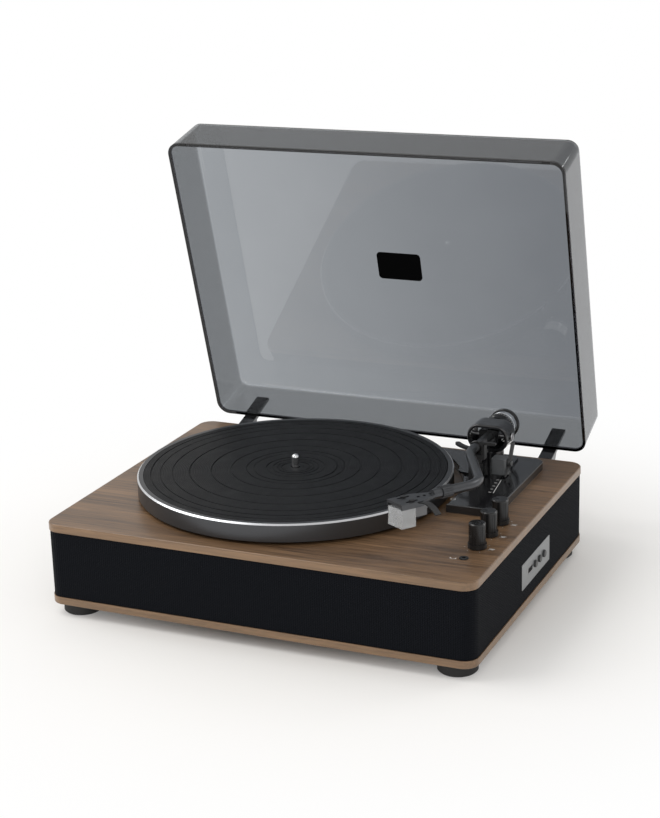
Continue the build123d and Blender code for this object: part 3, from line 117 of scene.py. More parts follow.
# %% [markdown]
# ## Small helpers
#
# Operators work on whatever is selected, and loading leaves every solid selected. So each step
# first lets go of everything, and afterwards selects just what it needs.

# %% Selection helpers
def let_go():
    if bpy.context.object and bpy.context.object.mode != "OBJECT":
        bpy.ops.object.mode_set(mode="OBJECT")
    bpy.ops.object.select_all(action="DESELECT")


def pick(piece):
    let_go()
    bpy.context.view_layer.objects.active = piece
    piece.select_set(True)


def solid(name):
    for piece in bpy.data.objects:
        if piece.type == "MESH" and piece.name == name:
            return piece
    raise ValueError(name)


def settle(piece, name, body, place=None):
    """Names a finished piece, moves it into place with its mesh and lets it ride on a body."""
    pick(piece)
    if place is not None:
        piece.matrix_world = place @ piece.matrix_world
    bpy.ops.object.transform_apply(location=True, rotation=True, scale=True)
    piece.name = name
    piece.data.name = name
    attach(piece, body)
    return piece


def select_faces(test):
    """In edit mode, selects the faces whose centre and normal pass a test."""
    bpy.ops.mesh.select_mode(type="FACE")
    bpy.ops.mesh.select_all(action="DESELECT")
    bpy.ops.object.mode_set(mode="OBJECT")
    for face in bpy.context.object.data.polygons:
        face.select = test(face.center, face.normal)
    bpy.ops.object.mode_set(mode="EDIT")


def apply_bevel(piece, width, segments=2):
    pick(piece)
    bevel = piece.modifiers.new("bevel", "BEVEL")
    bevel.width = width
    bevel.segments = segments
    bevel.limit_method = "ANGLE"
    bevel.angle_limit = math.radians(40)
    bpy.ops.object.modifier_apply(modifier=bevel.name)


# %% [markdown]
# ## Floor and light
#
# The photograph has a pale, nearly white floor and soft light from the left, which leaves a
# soft shadow on the right. A wide lamp gives that shadow. The world adds light from all round.
# The camera sees the world as plain white, directly or through the lid, while the object is
# lit by a softer one.

# %% World
world = bpy.data.worlds.new("studio")
bpy.context.scene.world = world
world.use_nodes = True
nodes = world.node_tree.nodes
links = world.node_tree.links
nodes.clear()
sky_out = nodes.new("ShaderNodeOutputWorld")
sky_light = nodes.new("ShaderNodeBackground")
sky_light.inputs["Color"].default_value = (1.0, 0.99, 0.975, 1)
sky_light.inputs["Strength"].default_value = 0.68
sky_seen = nodes.new("ShaderNodeBackground")
sky_seen.inputs["Color"].default_value = (1, 1, 1, 1)
sky_seen.inputs["Strength"].default_value = 1.0
path = nodes.new("ShaderNodeLightPath")
seen = nodes.new("ShaderNodeMath")
seen.operation = "MAXIMUM"
links.new(path.outputs["Is Camera Ray"], seen.inputs[0])
links.new(path.outputs["Is Transmission Ray"], seen.inputs[1])
mix = nodes.new("ShaderNodeMixShader")
links.new(seen.outputs[0], mix.inputs["Fac"])
links.new(sky_light.outputs[0], mix.inputs[1])
links.new(sky_seen.outputs[0], mix.inputs[2])
links.new(mix.outputs[0], sky_out.inputs["Surface"])
print("world made")

# %% Lamps
def softbox(name, place, target, size, power):
    data = bpy.data.lights.new(name, "AREA")
    data.shape = "RECTANGLE"
    data.size = size[0]
    data.size_y = size[1]
    data.energy = power
    lamp = bpy.data.objects.new(name, data)
    bpy.context.scene.collection.objects.link(lamp)
    lamp.location = place
    lamp.rotation_mode = "QUATERNION"
    lamp.rotation_quaternion = (Vector(target) - Vector(place)).to_track_quat("-Z", "Y")
    return lamp


key = softbox("key", (-1.7, -0.5, 2.1), target=(0, 0, 0.1), size=(1.9, 1.9), power=38)
fill = softbox("fill", (1.1, -2.2, 1.5), target=(0, 0, 0.1), size=(1.4, 1.0), power=8)
rim = softbox("rim", (1.5, 1.7, 1.5), target=(0, 0, 0.15), size=(0.9, 0.6), power=5)
print("lamps:", key.name, fill.name, rim.name)

# %% [markdown]
# The floor is pale paper in the middle and fades to plain white further out. The camera sees
# that white, and so do rays that pass through the lid or are mirrored by metal. Diffuse rays
# see only the paper, so the white doesn't light the object's matte sides.

# %% Floor
FADE_START, FADE_END = 0.14, 0.58
let_go()
bpy.ops.mesh.primitive_grid_add(x_subdivisions=4, y_subdivisions=4, size=12, location=(0, 0, 0))
floor = bpy.context.object
floor.name = "floor"
floor_material = bpy.data.materials.new("floor_paper")
floor_material.use_nodes = True
nodes = floor_material.node_tree.nodes
links = floor_material.node_tree.links
paper = nodes["Principled BSDF"]
paper.inputs["Base Color"].default_value = (0.9, 0.885, 0.86, 1)
paper.inputs["Roughness"].default_value = 0.75
paper.inputs["Specular IOR Level"].default_value = 0.15
floor_place = nodes.new("ShaderNodeTexCoord")
floor_length = nodes.new("ShaderNodeVectorMath")
floor_length.operation = "LENGTH"
links.new(floor_place.outputs["Object"], floor_length.inputs[0])
fade = nodes.new("ShaderNodeMapRange")
fade.inputs["From Min"].default_value = FADE_START
fade.inputs["From Max"].default_value = FADE_END
fade.interpolation_type = "SMOOTHSTEP"
links.new(floor_length.outputs["Value"], fade.inputs["Value"])
ray = nodes.new("ShaderNodeLightPath")
looked_at = nodes.new("ShaderNodeMath")
looked_at.operation = "MAXIMUM"
links.new(ray.outputs["Is Camera Ray"], looked_at.inputs[0])
links.new(ray.outputs["Is Transmission Ray"], looked_at.inputs[1])
mirrored = nodes.new("ShaderNodeMath")
mirrored.operation = "MAXIMUM"
links.new(looked_at.outputs[0], mirrored.inputs[0])
links.new(ray.outputs["Is Glossy Ray"], mirrored.inputs[1])
fading = nodes.new("ShaderNodeMath")
fading.operation = "MULTIPLY"
links.new(fade.outputs["Result"], fading.inputs[0])
links.new(mirrored.outputs[0], fading.inputs[1])
white = nodes.new("ShaderNodeEmission")
white.inputs["Color"].default_value = (1, 1, 1, 1)
white.inputs["Strength"].default_value = 1.0
both = nodes.new("ShaderNodeMixShader")
links.new(fading.outputs[0], both.inputs["Fac"])
links.new(paper.outputs[0], both.inputs[1])
links.new(white.outputs[0], both.inputs[2])
links.new(both.outputs[0], nodes["Material Output"].inputs["Surface"])
floor.data.materials.append(floor_material)
print("floor", floor.dimensions)

# %% [markdown]
# ## Shared effects
#
# Real surfaces are never one even colour. Four effects turn up on several parts, so each is a node
# group with its own inputs. A group only gives colours, values and masks. The shader itself
# stays in the material.

# %% Helpers for node groups
def new_group(name, inputs, outputs):
    group = bpy.data.node_groups.new(name, "ShaderNodeTree")
    for label, kind, value in inputs:
        socket = group.interface.new_socket(label, in_out="INPUT", socket_type=kind)
        socket.default_value = value
    for label, kind in outputs:
        group.interface.new_socket(label, in_out="OUTPUT", socket_type=kind)
    start = group.nodes.new("NodeGroupInput")
    end = group.nodes.new("NodeGroupOutput")
    return group, start, end


def math_node(tree, operation, first, second=None, third=None):
    """Adds a Math node. Each input is a number or an output to link from."""
    node = tree.nodes.new("ShaderNodeMath")
    node.operation = operation
    for slot_index, value in enumerate((first, second, third)):
        if value is None:
            continue
        if isinstance(value, (int, float)):
            node.inputs[slot_index].default_value = value
        else:
            tree.links.new(value, node.inputs[slot_index])
    return node.outputs[0]


def noise_node(tree, vector, scale, detail=3.0, roughness=0.5):
    node = tree.nodes.new("ShaderNodeTexNoise")
    tree.links.new(vector, node.inputs["Vector"])
    if isinstance(scale, (int, float)):
        node.inputs["Scale"].default_value = scale
    else:
        tree.links.new(scale, node.inputs["Scale"])
    node.inputs["Detail"].default_value = detail
    node.inputs["Roughness"].default_value = roughness
    return node.outputs[0]


def blend_colours(tree, factor, first, second):
    node = tree.nodes.new("ShaderNodeMix")
    node.data_type = "RGBA"
    sockets = (node.inputs["Factor"], node.inputs[6], node.inputs[7])
    for socket, value in zip(sockets, (factor, first, second)):
        if isinstance(value, (int, float)):
            socket.default_value = value
        elif isinstance(value, tuple):
            socket.default_value = (*value, 1)
        else:
            tree.links.new(value, socket)
    return node.outputs[2]


# %% [markdown]
# **Wood grain.** Veneer shows long streaks, darker bands that wander, and short open pores. All
# three are noise that is stretched along the grain. The Vector input says where we are, and the
# group stretches it along X.

# %% Grain group
# Three of the groups give the same three outputs.
LOOKS = [
    ("Color", "NodeSocketColor"),
    ("Height", "NodeSocketFloat"),
    ("Roughness", "NodeSocketFloat"),
]
PORE_LIMIT = 0.64
grain_group, start, end = new_group(
    "wood_grain",
    [
        ("Vector", "NodeSocketVector", (0, 0, 0)),
        ("Light", "NodeSocketColor", (0.3, 0.19, 0.11, 1)),
        ("Dark", "NodeSocketColor", (0.1, 0.055, 0.03, 1)),
    ],
    LOOKS,
)
stretch = grain_group.nodes.new("ShaderNodeMapping")
stretch.inputs["Scale"].default_value = (1.6, 26, 26)
grain_group.links.new(start.outputs["Vector"], stretch.inputs["Vector"])
wander = noise_node(grain_group, start.outputs["Vector"], 4.0, detail=2.0)
bands = noise_node(grain_group, stretch.outputs[0], 1.6, detail=4.0, roughness=0.6)
fine = grain_group.nodes.new("ShaderNodeMapping")
fine.inputs["Scale"].default_value = (16, 420, 420)
grain_group.links.new(start.outputs["Vector"], fine.inputs["Vector"])
streaks = noise_node(grain_group, fine.outputs[0], 1.0, detail=3.0, roughness=0.6)
pore = grain_group.nodes.new("ShaderNodeMapping")
pore.inputs["Scale"].default_value = (60, 1500, 1500)
grain_group.links.new(start.outputs["Vector"], pore.inputs["Vector"])
pores = noise_node(grain_group, pore.outputs[0], 1.0, detail=1.0)
pore_mask = math_node(grain_group, "GREATER_THAN", pores, PORE_LIMIT)
tone = math_node(grain_group, "MULTIPLY_ADD", bands, 1.5, -0.35)
tone = math_node(grain_group, "MULTIPLY_ADD", streaks, 1.7, tone)
tone = math_node(grain_group, "MULTIPLY_ADD", wander, 0.3, tone)
tone = math_node(grain_group, "MULTIPLY_ADD", pore_mask, -0.22, tone)
tone = math_node(grain_group, "SUBTRACT", tone, 0.86)
clamp = grain_group.nodes.new("ShaderNodeClamp")
grain_group.links.new(tone, clamp.inputs[0])
dark, light = start.outputs["Dark"], start.outputs["Light"]
grain_colour = blend_colours(grain_group, clamp.outputs[0], dark, light)
grain_group.links.new(grain_colour, end.inputs["Color"])
height = math_node(grain_group, "MULTIPLY_ADD", pore_mask, -0.6, streaks)
grain_group.links.new(height, end.inputs["Height"])
rough = math_node(grain_group, "MULTIPLY_ADD", streaks, 0.2, 0.3)
grain_group.links.new(rough, end.inputs["Roughness"])
print("grain group:", len(grain_group.nodes), "nodes")

# %% [markdown]
# **Moulded grain.** Plastic and rubber come out of a mould with a fine, even texture, and pick
# up soft smudges that change the gloss. One group gives both.

# %% Moulded group
mould_group, start, end = new_group(
    "moulded_grain",
    [
        ("Vector", "NodeSocketVector", (0, 0, 0)),
        ("Color", "NodeSocketColor", (0.03, 0.03, 0.03, 1)),
        ("Roughness", "NodeSocketFloat", 0.5),
        ("Scale", "NodeSocketFloat", 1800.0),
    ],
    LOOKS,
)
specks = noise_node(mould_group, start.outputs["Vector"], start.outputs["Scale"], detail=2.0)
smudges = noise_node(mould_group, start.outputs["Vector"], 38.0, detail=4.0, roughness=0.6)
brighter = mould_group.nodes.new("ShaderNodeHueSaturation")
mould_group.links.new(start.outputs["Color"], brighter.inputs["Color"])
value = math_node(mould_group, "MULTIPLY_ADD", smudges, 0.5, 0.78)
mould_group.links.new(value, brighter.inputs["Value"])
mould_group.links.new(brighter.outputs[0], end.inputs["Color"])
mould_group.links.new(specks, end.inputs["Height"])
rough = math_node(mould_group, "MULTIPLY_ADD", smudges, 0.24, start.outputs["Roughness"])
mould_group.links.new(math_node(mould_group, "SUBTRACT", rough, 0.12), end.inputs["Roughness"])

# %% [markdown]
# **Turned rings.** The platter was turned on a lathe and the mat was moulded in rings. Both
# patterns depend only on the distance from the spindle, so the group measures that distance and
# runs a wave along it.

# %% Rings group
ring_group, start, end = new_group(
    "turned_rings",
    [("Vector", "NodeSocketVector", (0, 0, 0)), ("Pitch", "NodeSocketFloat", 0.001)],
    [("Wave", "NodeSocketFloat"), ("Scatter", "NodeSocketFloat")],
)
split = ring_group.nodes.new("ShaderNodeSeparateXYZ")
ring_group.links.new(start.outputs["Vector"], split.inputs[0])
square_x = math_node(ring_group, "MULTIPLY", split.outputs["X"], split.outputs["X"])
square = math_node(ring_group, "MULTIPLY_ADD", split.outputs["Y"], split.outputs["Y"], square_x)
distance = math_node(ring_group, "SQRT", square)
turns = math_node(ring_group, "DIVIDE", distance, start.outputs["Pitch"])
wave = math_node(ring_group, "SINE", math_node(ring_group, "MULTIPLY", turns, 2 * math.pi))
ring_group.links.new(math_node(ring_group, "MULTIPLY_ADD", wave, 0.5, 0.5), end.inputs["Wave"])
along = ring_group.nodes.new("ShaderNodeCombineXYZ")
ring_group.links.new(math_node(ring_group, "MULTIPLY", distance, 2400), along.inputs["X"])
scatter = noise_node(ring_group, along.outputs[0], 1.0, detail=2.0)
ring_group.links.new(scatter, end.inputs["Scatter"])

# %% [markdown]
# **Brushed metal.** Brushing leaves fine parallel scratches. Noise that is stretched along one
# axis draws them.

# %% Brushed group
brush_group, start, end = new_group(
    "brushed_metal",
    [
        ("Vector", "NodeSocketVector", (0, 0, 0)),
        ("Color", "NodeSocketColor", (0.5, 0.5, 0.5, 1)),
        ("Roughness", "NodeSocketFloat", 0.35),
        ("Stretch", "NodeSocketVector", (40, 3000, 3000)),
    ],
    LOOKS,
)
pull = brush_group.nodes.new("ShaderNodeVectorMath")
pull.operation = "MULTIPLY"
brush_group.links.new(start.outputs["Vector"], pull.inputs[0])
brush_group.links.new(start.outputs["Stretch"], pull.inputs[1])
scratches = noise_node(brush_group, pull.outputs[0], 1.0, detail=3.0)
patches = noise_node(brush_group, start.outputs["Vector"], 30.0, detail=3.0)
value = math_node(brush_group, "MULTIPLY_ADD", scratches, 0.35, 0.72)
value = math_node(brush_group, "MULTIPLY_ADD", patches, 0.2, value)
shade = brush_group.nodes.new("ShaderNodeHueSaturation")
brush_group.links.new(start.outputs["Color"], shade.inputs["Color"])
brush_group.links.new(value, shade.inputs["Value"])
brush_group.links.new(shade.outputs[0], end.inputs["Color"])
brush_group.links.new(scratches, end.inputs["Height"])
rough = math_node(brush_group, "MULTIPLY_ADD", scratches, 0.16, start.outputs["Roughness"])
brush_group.links.new(math_node(brush_group, "SUBTRACT", rough, 0.08), end.inputs["Roughness"])
print("groups:", [group.name for group in bpy.data.node_groups])

# %% [markdown]
# ## Finishes
#
# Each finish is one material. A helper starts it with the two nodes that all of them share:
# the place on the piece and the shader. A bump helper turns a height into a tiny relief.

# %% Material helpers
def new_finish(name, centre=(0, 0, 0), turn=(0, 0, 0)):
    material = bpy.data.materials.new(name)
    material.use_nodes = True
    tree = material.node_tree
    shader = tree.nodes["Principled BSDF"]
    place = tree.nodes.new("ShaderNodeTexCoord")
    mapping = tree.nodes.new("ShaderNodeMapping")
    mapping.vector_type = "TEXTURE"
    mapping.inputs["Location"].default_value = centre
    mapping.inputs["Rotation"].default_value = turn
    tree.links.new(place.outputs["Object"], mapping.inputs["Vector"])
    return material, tree, shader, mapping.outputs[0]


def relief(tree, shader, height, strength, distance):
    bump = tree.nodes.new("ShaderNodeBump")
    bump.inputs["Strength"].default_value = strength
    bump.inputs["Distance"].default_value = distance
    tree.links.new(height, bump.inputs["Height"])
    tree.links.new(bump.outputs[0], shader.inputs["Normal"])


def place_group(tree, group, vector, **values):
    node = tree.nodes.new("ShaderNodeGroup")
    node.node_tree = group
    tree.links.new(vector, node.inputs["Vector"])
    for label, value in values.items():
        node.inputs[label].default_value = value
    return node


def moulded(name, colour, roughness, scale=1800.0, bump=0.15, coat=0.0):
    material, tree, shader, spot = new_finish(name)
    group = place_group(
        tree, mould_group, spot, Color=(*colour, 1), Roughness=roughness, Scale=scale
    )
    tree.links.new(group.outputs["Color"], shader.inputs["Base Color"])
    tree.links.new(group.outputs["Roughness"], shader.inputs["Roughness"])
    relief(tree, shader, group.outputs["Height"], bump, 0.0002)
    shader.inputs["Coat Weight"].default_value = coat
    shader.inputs["Coat Roughness"].default_value = 0.08
    return material


def brushed(name, colour, roughness, stretch=(40, 3000, 3000), metallic=1.0, bump=0.06):
    material, tree, shader, spot = new_finish(name)
    group = place_group(
        tree, brush_group, spot, Color=(*colour, 1), Roughness=roughness, Stretch=stretch
    )
    tree.links.new(group.outputs["Color"], shader.inputs["Base Color"])
    tree.links.new(group.outputs["Roughness"], shader.inputs["Roughness"])
    relief(tree, shader, group.outputs["Height"], bump, 0.0001)
    shader.inputs["Metallic"].default_value = metallic
    return material


def dress(material, *names):
    for name in names:
        piece = solid(name)
        if not piece.material_slots:
            piece.data.materials.append(material)
        for slot in piece.material_slots:
            slot.material = material


# %% [markdown]
# ** Walnut veneer.** The top and bottom boards are thin walnut over a pressed core, oiled to a
# soft sheen. The grain runs from left to right. The colour is lifted towards a paler brown where
# the surface is upright: a painted highlight on the boards' edges.

# %% Veneer
veneer, tree, shader, spot = new_finish("walnut_veneer", turn=(0, 0, math.radians(1.5)))
WALNUT_LIGHT, WALNUT_DARK = (0.235, 0.136, 0.068, 1), (0.04, 0.0205, 0.0095, 1)
WALNUT_EDGE_HIGHLIGHT = (0.36, 0.225, 0.125)
group = place_group(tree, grain_group, spot, Light=WALNUT_LIGHT, Dark=WALNUT_DARK)
facing = tree.nodes.new("ShaderNodeNewGeometry")
parts = tree.nodes.new("ShaderNodeSeparateXYZ")
tree.links.new(facing.outputs["Normal"], parts.inputs[0])
# Upright faces are lifted towards a paler brown: a painted highlight on the boards' edges.
edge = math_node(tree, "SUBTRACT", 1.0, math_node(tree, "ABSOLUTE", parts.outputs["Z"]))
edge = math_node(tree, "MULTIPLY", edge, 0.35)
colour = blend_colours(tree, edge, group.outputs["Color"], WALNUT_EDGE_HIGHLIGHT)
tree.links.new(colour, shader.inputs["Base Color"])
tree.links.new(group.outputs["Roughness"], shader.inputs["Roughness"])
relief(tree, shader, group.outputs["Height"], 0.12, 0.0003)
shader.inputs["Coat Weight"].default_value = 0.3
shader.inputs["Coat Roughness"].default_value = 0.28
dress(veneer, "top_panel", "bottom_panel")

# %% Core board of the case
core, tree, shader, spot = new_finish("pressed_board")
group = place_group(tree, mould_group, spot, Color=(0.42, 0.31, 0.2, 1), Roughness=0.8, Scale=700.0)
tree.links.new(group.outputs["Color"], shader.inputs["Base Color"])
tree.links.new(group.outputs["Roughness"], shader.inputs["Roughness"])
relief(tree, shader, group.outputs["Height"], 0.3, 0.0004)
dress(core, "cabinet_frame")

# %% [markdown]
# **Speaker cloth.** The cloth is a black weave with a diagonal twill. X plus Y runs along every
# side of the case, also round the corners, so a wave in that sum and in Z draws the threads on
# all four walls.

# %% Cloth
cloth, tree, shader, spot = new_finish("speaker_cloth")
parts = tree.nodes.new("ShaderNodeSeparateXYZ")
tree.links.new(spot, parts.inputs[0])
run = math_node(tree, "ADD", parts.outputs["X"], parts.outputs["Y"])
THREAD_PITCH = 0.0032
thread = 2 * math.pi / THREAD_PITCH
across = math_node(tree, "MULTIPLY", run, thread)
upwards = math_node(tree, "MULTIPLY", parts.outputs["Z"], thread)
warp = math_node(tree, "SINE", math_node(tree, "ADD", across, upwards))
half_across = math_node(tree, "MULTIPLY", across, 0.5)
weft = math_node(tree, "SINE", math_node(tree, "SUBTRACT", upwards, half_across))
cross = math_node(tree, "MULTIPLY", warp, weft)
knots = math_node(tree, "MULTIPLY_ADD", cross, 0.5, 0.5)
fuzz = noise_node(tree, spot, 900.0, detail=2.0)
fibres = math_node(tree, "MULTIPLY_ADD", fuzz, 0.6, knots)
fibres = math_node(tree, "MULTIPLY", fibres, 0.62)
colour = blend_colours(tree, fibres, (0.0005, 0.0007, 0.0012), (0.0085, 0.0102, 0.0145))
tree.links.new(colour, shader.inputs["Base Color"])
shader.inputs["Roughness"].default_value = 0.95
shader.inputs["Sheen Weight"].default_value = 0.02
shader.inputs["Sheen Roughness"].default_value = 0.5
shader.inputs["Specular IOR Level"].default_value = 0.1
relief(tree, shader, fibres, 0.8, 0.0009)
dress(cloth, "grille_cloth")

# %% [markdown]
# ** Platter.** Its rim is cast metal, painted dark and turned smooth, with a chamfer on top. The
# chamfer gets a pale colour, a painted highlight along the rim's top edge. The chamfer is where
# the surface leans outwards, so the material looks at the normal.

# %% Platter
platter, tree, shader, spot = new_finish("platter_metal", centre=tuple(SPINDLE))
rings = place_group(tree, ring_group, spot, Pitch=0.0007)
facing = tree.nodes.new("ShaderNodeNewGeometry")
parts = tree.nodes.new("ShaderNodeSeparateXYZ")
tree.links.new(facing.outputs["Normal"], parts.inputs[0])
CHAMFER_NORMAL_Z = 0.707
chamfer_highlight = math_node(tree, "COMPARE", parts.outputs["Z"], CHAMFER_NORMAL_Z, 0.2)
# The chamfer is given a pale colour: a painted highlight along the rim's top edge.
colour = blend_colours(tree, chamfer_highlight, (0.085, 0.087, 0.092), (0.66, 0.67, 0.69))
tree.links.new(colour, shader.inputs["Base Color"])
shader.inputs["Metallic"].default_value = 0.85
scatter = math_node(tree, "MULTIPLY_ADD", rings.outputs["Scatter"], 0.25, 0.2)
tree.links.new(scatter, shader.inputs["Roughness"])
relief(tree, shader, rings.outputs["Scatter"], 0.05, 0.0001)
dress(platter, "platter")

# %% Rubber mat
rubber_mat, tree, shader, spot = new_finish("ribbed_rubber", centre=tuple(SPINDLE))
rings = place_group(tree, ring_group, spot, Pitch=0.0016)
dust = noise_node(tree, spot, 60.0, detail=5.0, roughness=0.7)
colour = blend_colours(tree, dust, (0.0012, 0.0014, 0.002), (0.0048, 0.0054, 0.007))
tree.links.new(colour, shader.inputs["Base Color"])
tree.links.new(math_node(tree, "MULTIPLY_ADD", dust, 0.25, 0.42), shader.inputs["Roughness"])
relief(tree, shader, rings.outputs["Wave"], 0.5, 0.0003)
shader.inputs["Specular IOR Level"].default_value = 0.22
dress(rubber_mat, "platter_mat")

# %% [markdown]
# **Metals.** The spindle and the counterweight's band are chromed, and the screws under the
# feet and at the pivot are turned steel. The arm is a dark gunmetal, and the side panel is
# brushed. Metal needs something to reflect, and faint wear keeps it from looking like a
# mirror.

# %% Metals
chrome = brushed("chrome", (0.78, 0.79, 0.8), 0.14, stretch=(200, 200, 4000), bump=0.02)
screw_steel = brushed("screw_steel", (0.5, 0.5, 0.51), 0.3)
brass = brushed("bearing_brass", (0.68, 0.5, 0.25), 0.35, stretch=(300, 300, 3000))
gunmetal = brushed("gunmetal", (0.085, 0.088, 0.094), 0.32, stretch=(500, 500, 500), metallic=0.8)
side_metal = brushed("side_metal", (0.33, 0.34, 0.35), 0.38, stretch=(3000, 60, 3000))
dress(chrome, "spindle")
dress(screw_steel, "foot_screws", "pivot_screws", "usb_socket", "phono_sockets")
dress(brass, "bearing_housing", "motor_pulley")
dress(gunmetal, "arm_tube", "arm_collar", "headshell")
dress(side_metal, "side_plate")

# %% [markdown]
# **Black plastics and rubbers.** There are six kinds: glossy on the arm's base, satin on the
# knobs, matte on small levers and the cartridge's screws, soft rubber underfoot, a dull pad
# inside the lid, and hard black enamel on the pivot and the hinges.

# %% Blacks
gloss_black = moulded("gloss_black", (0.008, 0.008, 0.009), 0.16, scale=900.0, bump=0.03, coat=0.4)
satin_black = moulded("satin_black", (0.005, 0.005, 0.0055), 0.3, scale=1500.0, bump=0.08, coat=0.1)
matte_black = moulded("matte_black", (0.016, 0.016, 0.017), 0.5, scale=1800.0, bump=0.2)
foot_rubber = moulded("foot_rubber", (0.014, 0.014, 0.014), 0.7, scale=900.0, bump=0.4)
enamel_black = moulded("enamel_black", (0.008, 0.008, 0.009), 0.2, scale=600.0, bump=0.04, coat=0.5)
dress(gloss_black, "arm_base", "pivot_pillar")
dress(satin_black, "control_knob_1", "control_knob_2", "control_knob_3", "weight_dial")
dress(
    matte_black,
    "control_boxes",
    "headphone_jack",
    "terminal_plate",
    "power_inlet",
    "rocker_frame",
    "power_rocker",
    "cue_lever",
    "arm_rest",
    "rest_latch",
    "arm_lift",
    "finger_lift",
    "cartridge_screws",
)
dress(foot_rubber, "feet", "drive_belt", "lid_bumpers")
pad_black = moulded("pad_black", (0.0015, 0.0015, 0.0017), 0.85, scale=900.0, bump=0.2)
pad_black.node_tree.nodes["Principled BSDF"].inputs["Specular IOR Level"].default_value = 0.05
dress(pad_black, "lid_pad")
dress(enamel_black, "gimbal", "pivot_block", "hinge_brackets", "hinge_sockets")

# %% Inside the case
enamel_grey = moulded("enamel_grey", (0.04, 0.04, 0.045), 0.4, scale=800.0, bump=0.1)
paper = moulded("cone_paper", (0.03, 0.03, 0.03), 0.85, scale=2500.0, bump=0.5)
circuit = moulded("circuit_board", (0.02, 0.12, 0.05), 0.35, scale=600.0, bump=0.05)
cue_grey = moulded("cue_grey", (0.11, 0.115, 0.12), 0.35, scale=1500.0, bump=0.08)
button_grey = moulded("button_grey", (0.03, 0.031, 0.033), 0.35, scale=1500.0, bump=0.08)
dress(enamel_grey, "speaker_frames", "motor_plate", "motor")
dress(paper, "speaker_cones")
dress(circuit, "main_board", "side_board")
dress(cue_grey, "cue_block")
dress(button_grey, "push_button_1", "push_button_2", "push_button_3")

# %% [markdown]
# **Cartridge and guard.** The cartridge is dark silver plastic. The guard in front of it is
# frosted clear plastic, so light goes in and scatters: most of it passes through, and the
# surface is rougher than glass.

# %% Cartridge and guard
cartridge_silver = moulded("cartridge_silver", (0.16, 0.163, 0.17), 0.3, scale=900.0, bump=0.06)
guard_clear, tree, shader, spot = new_finish("frosted_guard")
frost = noise_node(tree, spot, 160.0, detail=1.0)
colour = blend_colours(tree, frost, (0.86, 0.88, 0.89), (0.94, 0.95, 0.96))
tree.links.new(colour, shader.inputs["Base Color"])
tree.links.new(math_node(tree, "MULTIPLY_ADD", frost, 0.15, 0.12), shader.inputs["Roughness"])
shader.inputs["Transmission Weight"].default_value = 0.72
relief(tree, shader, frost, 0.02, 0.0002)
dress(cartridge_silver, "cartridge")
dress(guard_clear, "stylus_guard")

# %% [markdown]
# **Smoked lid.** The lid is one moulding of tinted acrylic. The shader tints the light once for
# a whole wall, so the colour is the tint that we see through it. Looked at edge on, the wall is
# much thicker: its rim looks black, and its side walls are a little darker than its top. Both
# are found by their height in the lid's own frame, which a turned Mapping node gives. The tint
# deepens from left to right. In the photograph a reflection does that, and here it is a part
# of the tint.

# %% Smoked acrylic
RIM_BAND, TOP_BAND = 0.0022, 0.0055
GLARE_LEFT, GLARE_RIGHT = -0.2, 0.2
TINT_LEFT, TINT_RIGHT = (0.355, 0.375, 0.395), (0.195, 0.208, 0.226)
TINT_WALLS, TINT_RIM = (0.185, 0.195, 0.205), (0.004, 0.004, 0.005)
smoke, tree, shader, spot = new_finish(
    "smoked_acrylic", centre=tuple(HINGE), turn=(-LID_OPEN, 0, 0)
)
parts = tree.nodes.new("ShaderNodeSeparateXYZ")
tree.links.new(spot, parts.inputs[0])
rim_mask = math_node(tree, "LESS_THAN", parts.outputs["Z"], RIM_LIFT + RIM_BAND)
walls_end = RIM_LIFT + LID_HEIGHT - TOP_BAND
wall_mask = math_node(tree, "LESS_THAN", parts.outputs["Z"], walls_end)
haze = noise_node(tree, spot, 14.0, detail=3.0)
glare = tree.nodes.new("ShaderNodeMapRange")
glare.inputs["From Min"].default_value = GLARE_LEFT
glare.inputs["From Max"].default_value = GLARE_RIGHT
tree.links.new(parts.outputs["X"], glare.inputs["Value"])
spread = math_node(tree, "MULTIPLY_ADD", haze, 0.16, glare.outputs["Result"])
tint = blend_colours(tree, spread, TINT_LEFT, TINT_RIGHT)
tint = blend_colours(tree, wall_mask, tint, TINT_WALLS)
tint = blend_colours(tree, rim_mask, tint, TINT_RIM)
tree.links.new(tint, shader.inputs["Base Color"])
tree.links.new(math_node(tree, "MULTIPLY_ADD", haze, 0.04, 0.01), shader.inputs["Roughness"])
shader.inputs["Transmission Weight"].default_value = 1.0
shader.inputs["IOR"].default_value = 1.49
dress(smoke, "lid")

# %% [markdown]
# ## Printed marks
#
# The deck has small white marks beside its controls. Here they are plain generic signs: a
# pair of bars for the level, ticks for the stops and a simple headphone. Each bar starts
# as a plane that is inset and raised in edit mode, and becomes a thin slab of ink. An arc is a
# short line that is spun round its centre.

# %% Ink
INK_LIFT = 0.00008  # how far the ink's underside stands off the surface
INK_RISE = 0.00006  # how far the middle of a bar is raised over its edge
ink, tree, shader, spot = new_finish("white_ink")
speckle = noise_node(tree, spot, 2500.0, detail=2.0)
colour = blend_colours(tree, speckle, (0.55, 0.55, 0.54), (0.8, 0.8, 0.78))
tree.links.new(colour, shader.inputs["Base Color"])
shader.inputs["Roughness"].default_value = 0.55
relief(tree, shader, speckle, 0.1, 0.0001)


def ink_bar(width, depth, x, y, z, turn=0.0):
    """A thin slab of ink: a plane is sized, inset and raised, so its edge has a small slope."""
    let_go()
    bpy.ops.mesh.primitive_plane_add(size=1, location=(0, 0, 0))
    bar = bpy.context.object
    bar.data.transform(Matrix.Diagonal((width, depth, 1, 1)))
    bpy.ops.object.mode_set(mode="EDIT")
    bpy.ops.mesh.select_all(action="SELECT")
    bpy.ops.mesh.inset(thickness=min(width, depth) * 0.12)
    bpy.ops.transform.translate(value=(0, 0, INK_RISE))
    bpy.ops.object.mode_set(mode="OBJECT")
    bar.data.transform(Matrix.Translation((x, y, z)) @ Matrix.Rotation(turn, 4, "Z"))
    return bar


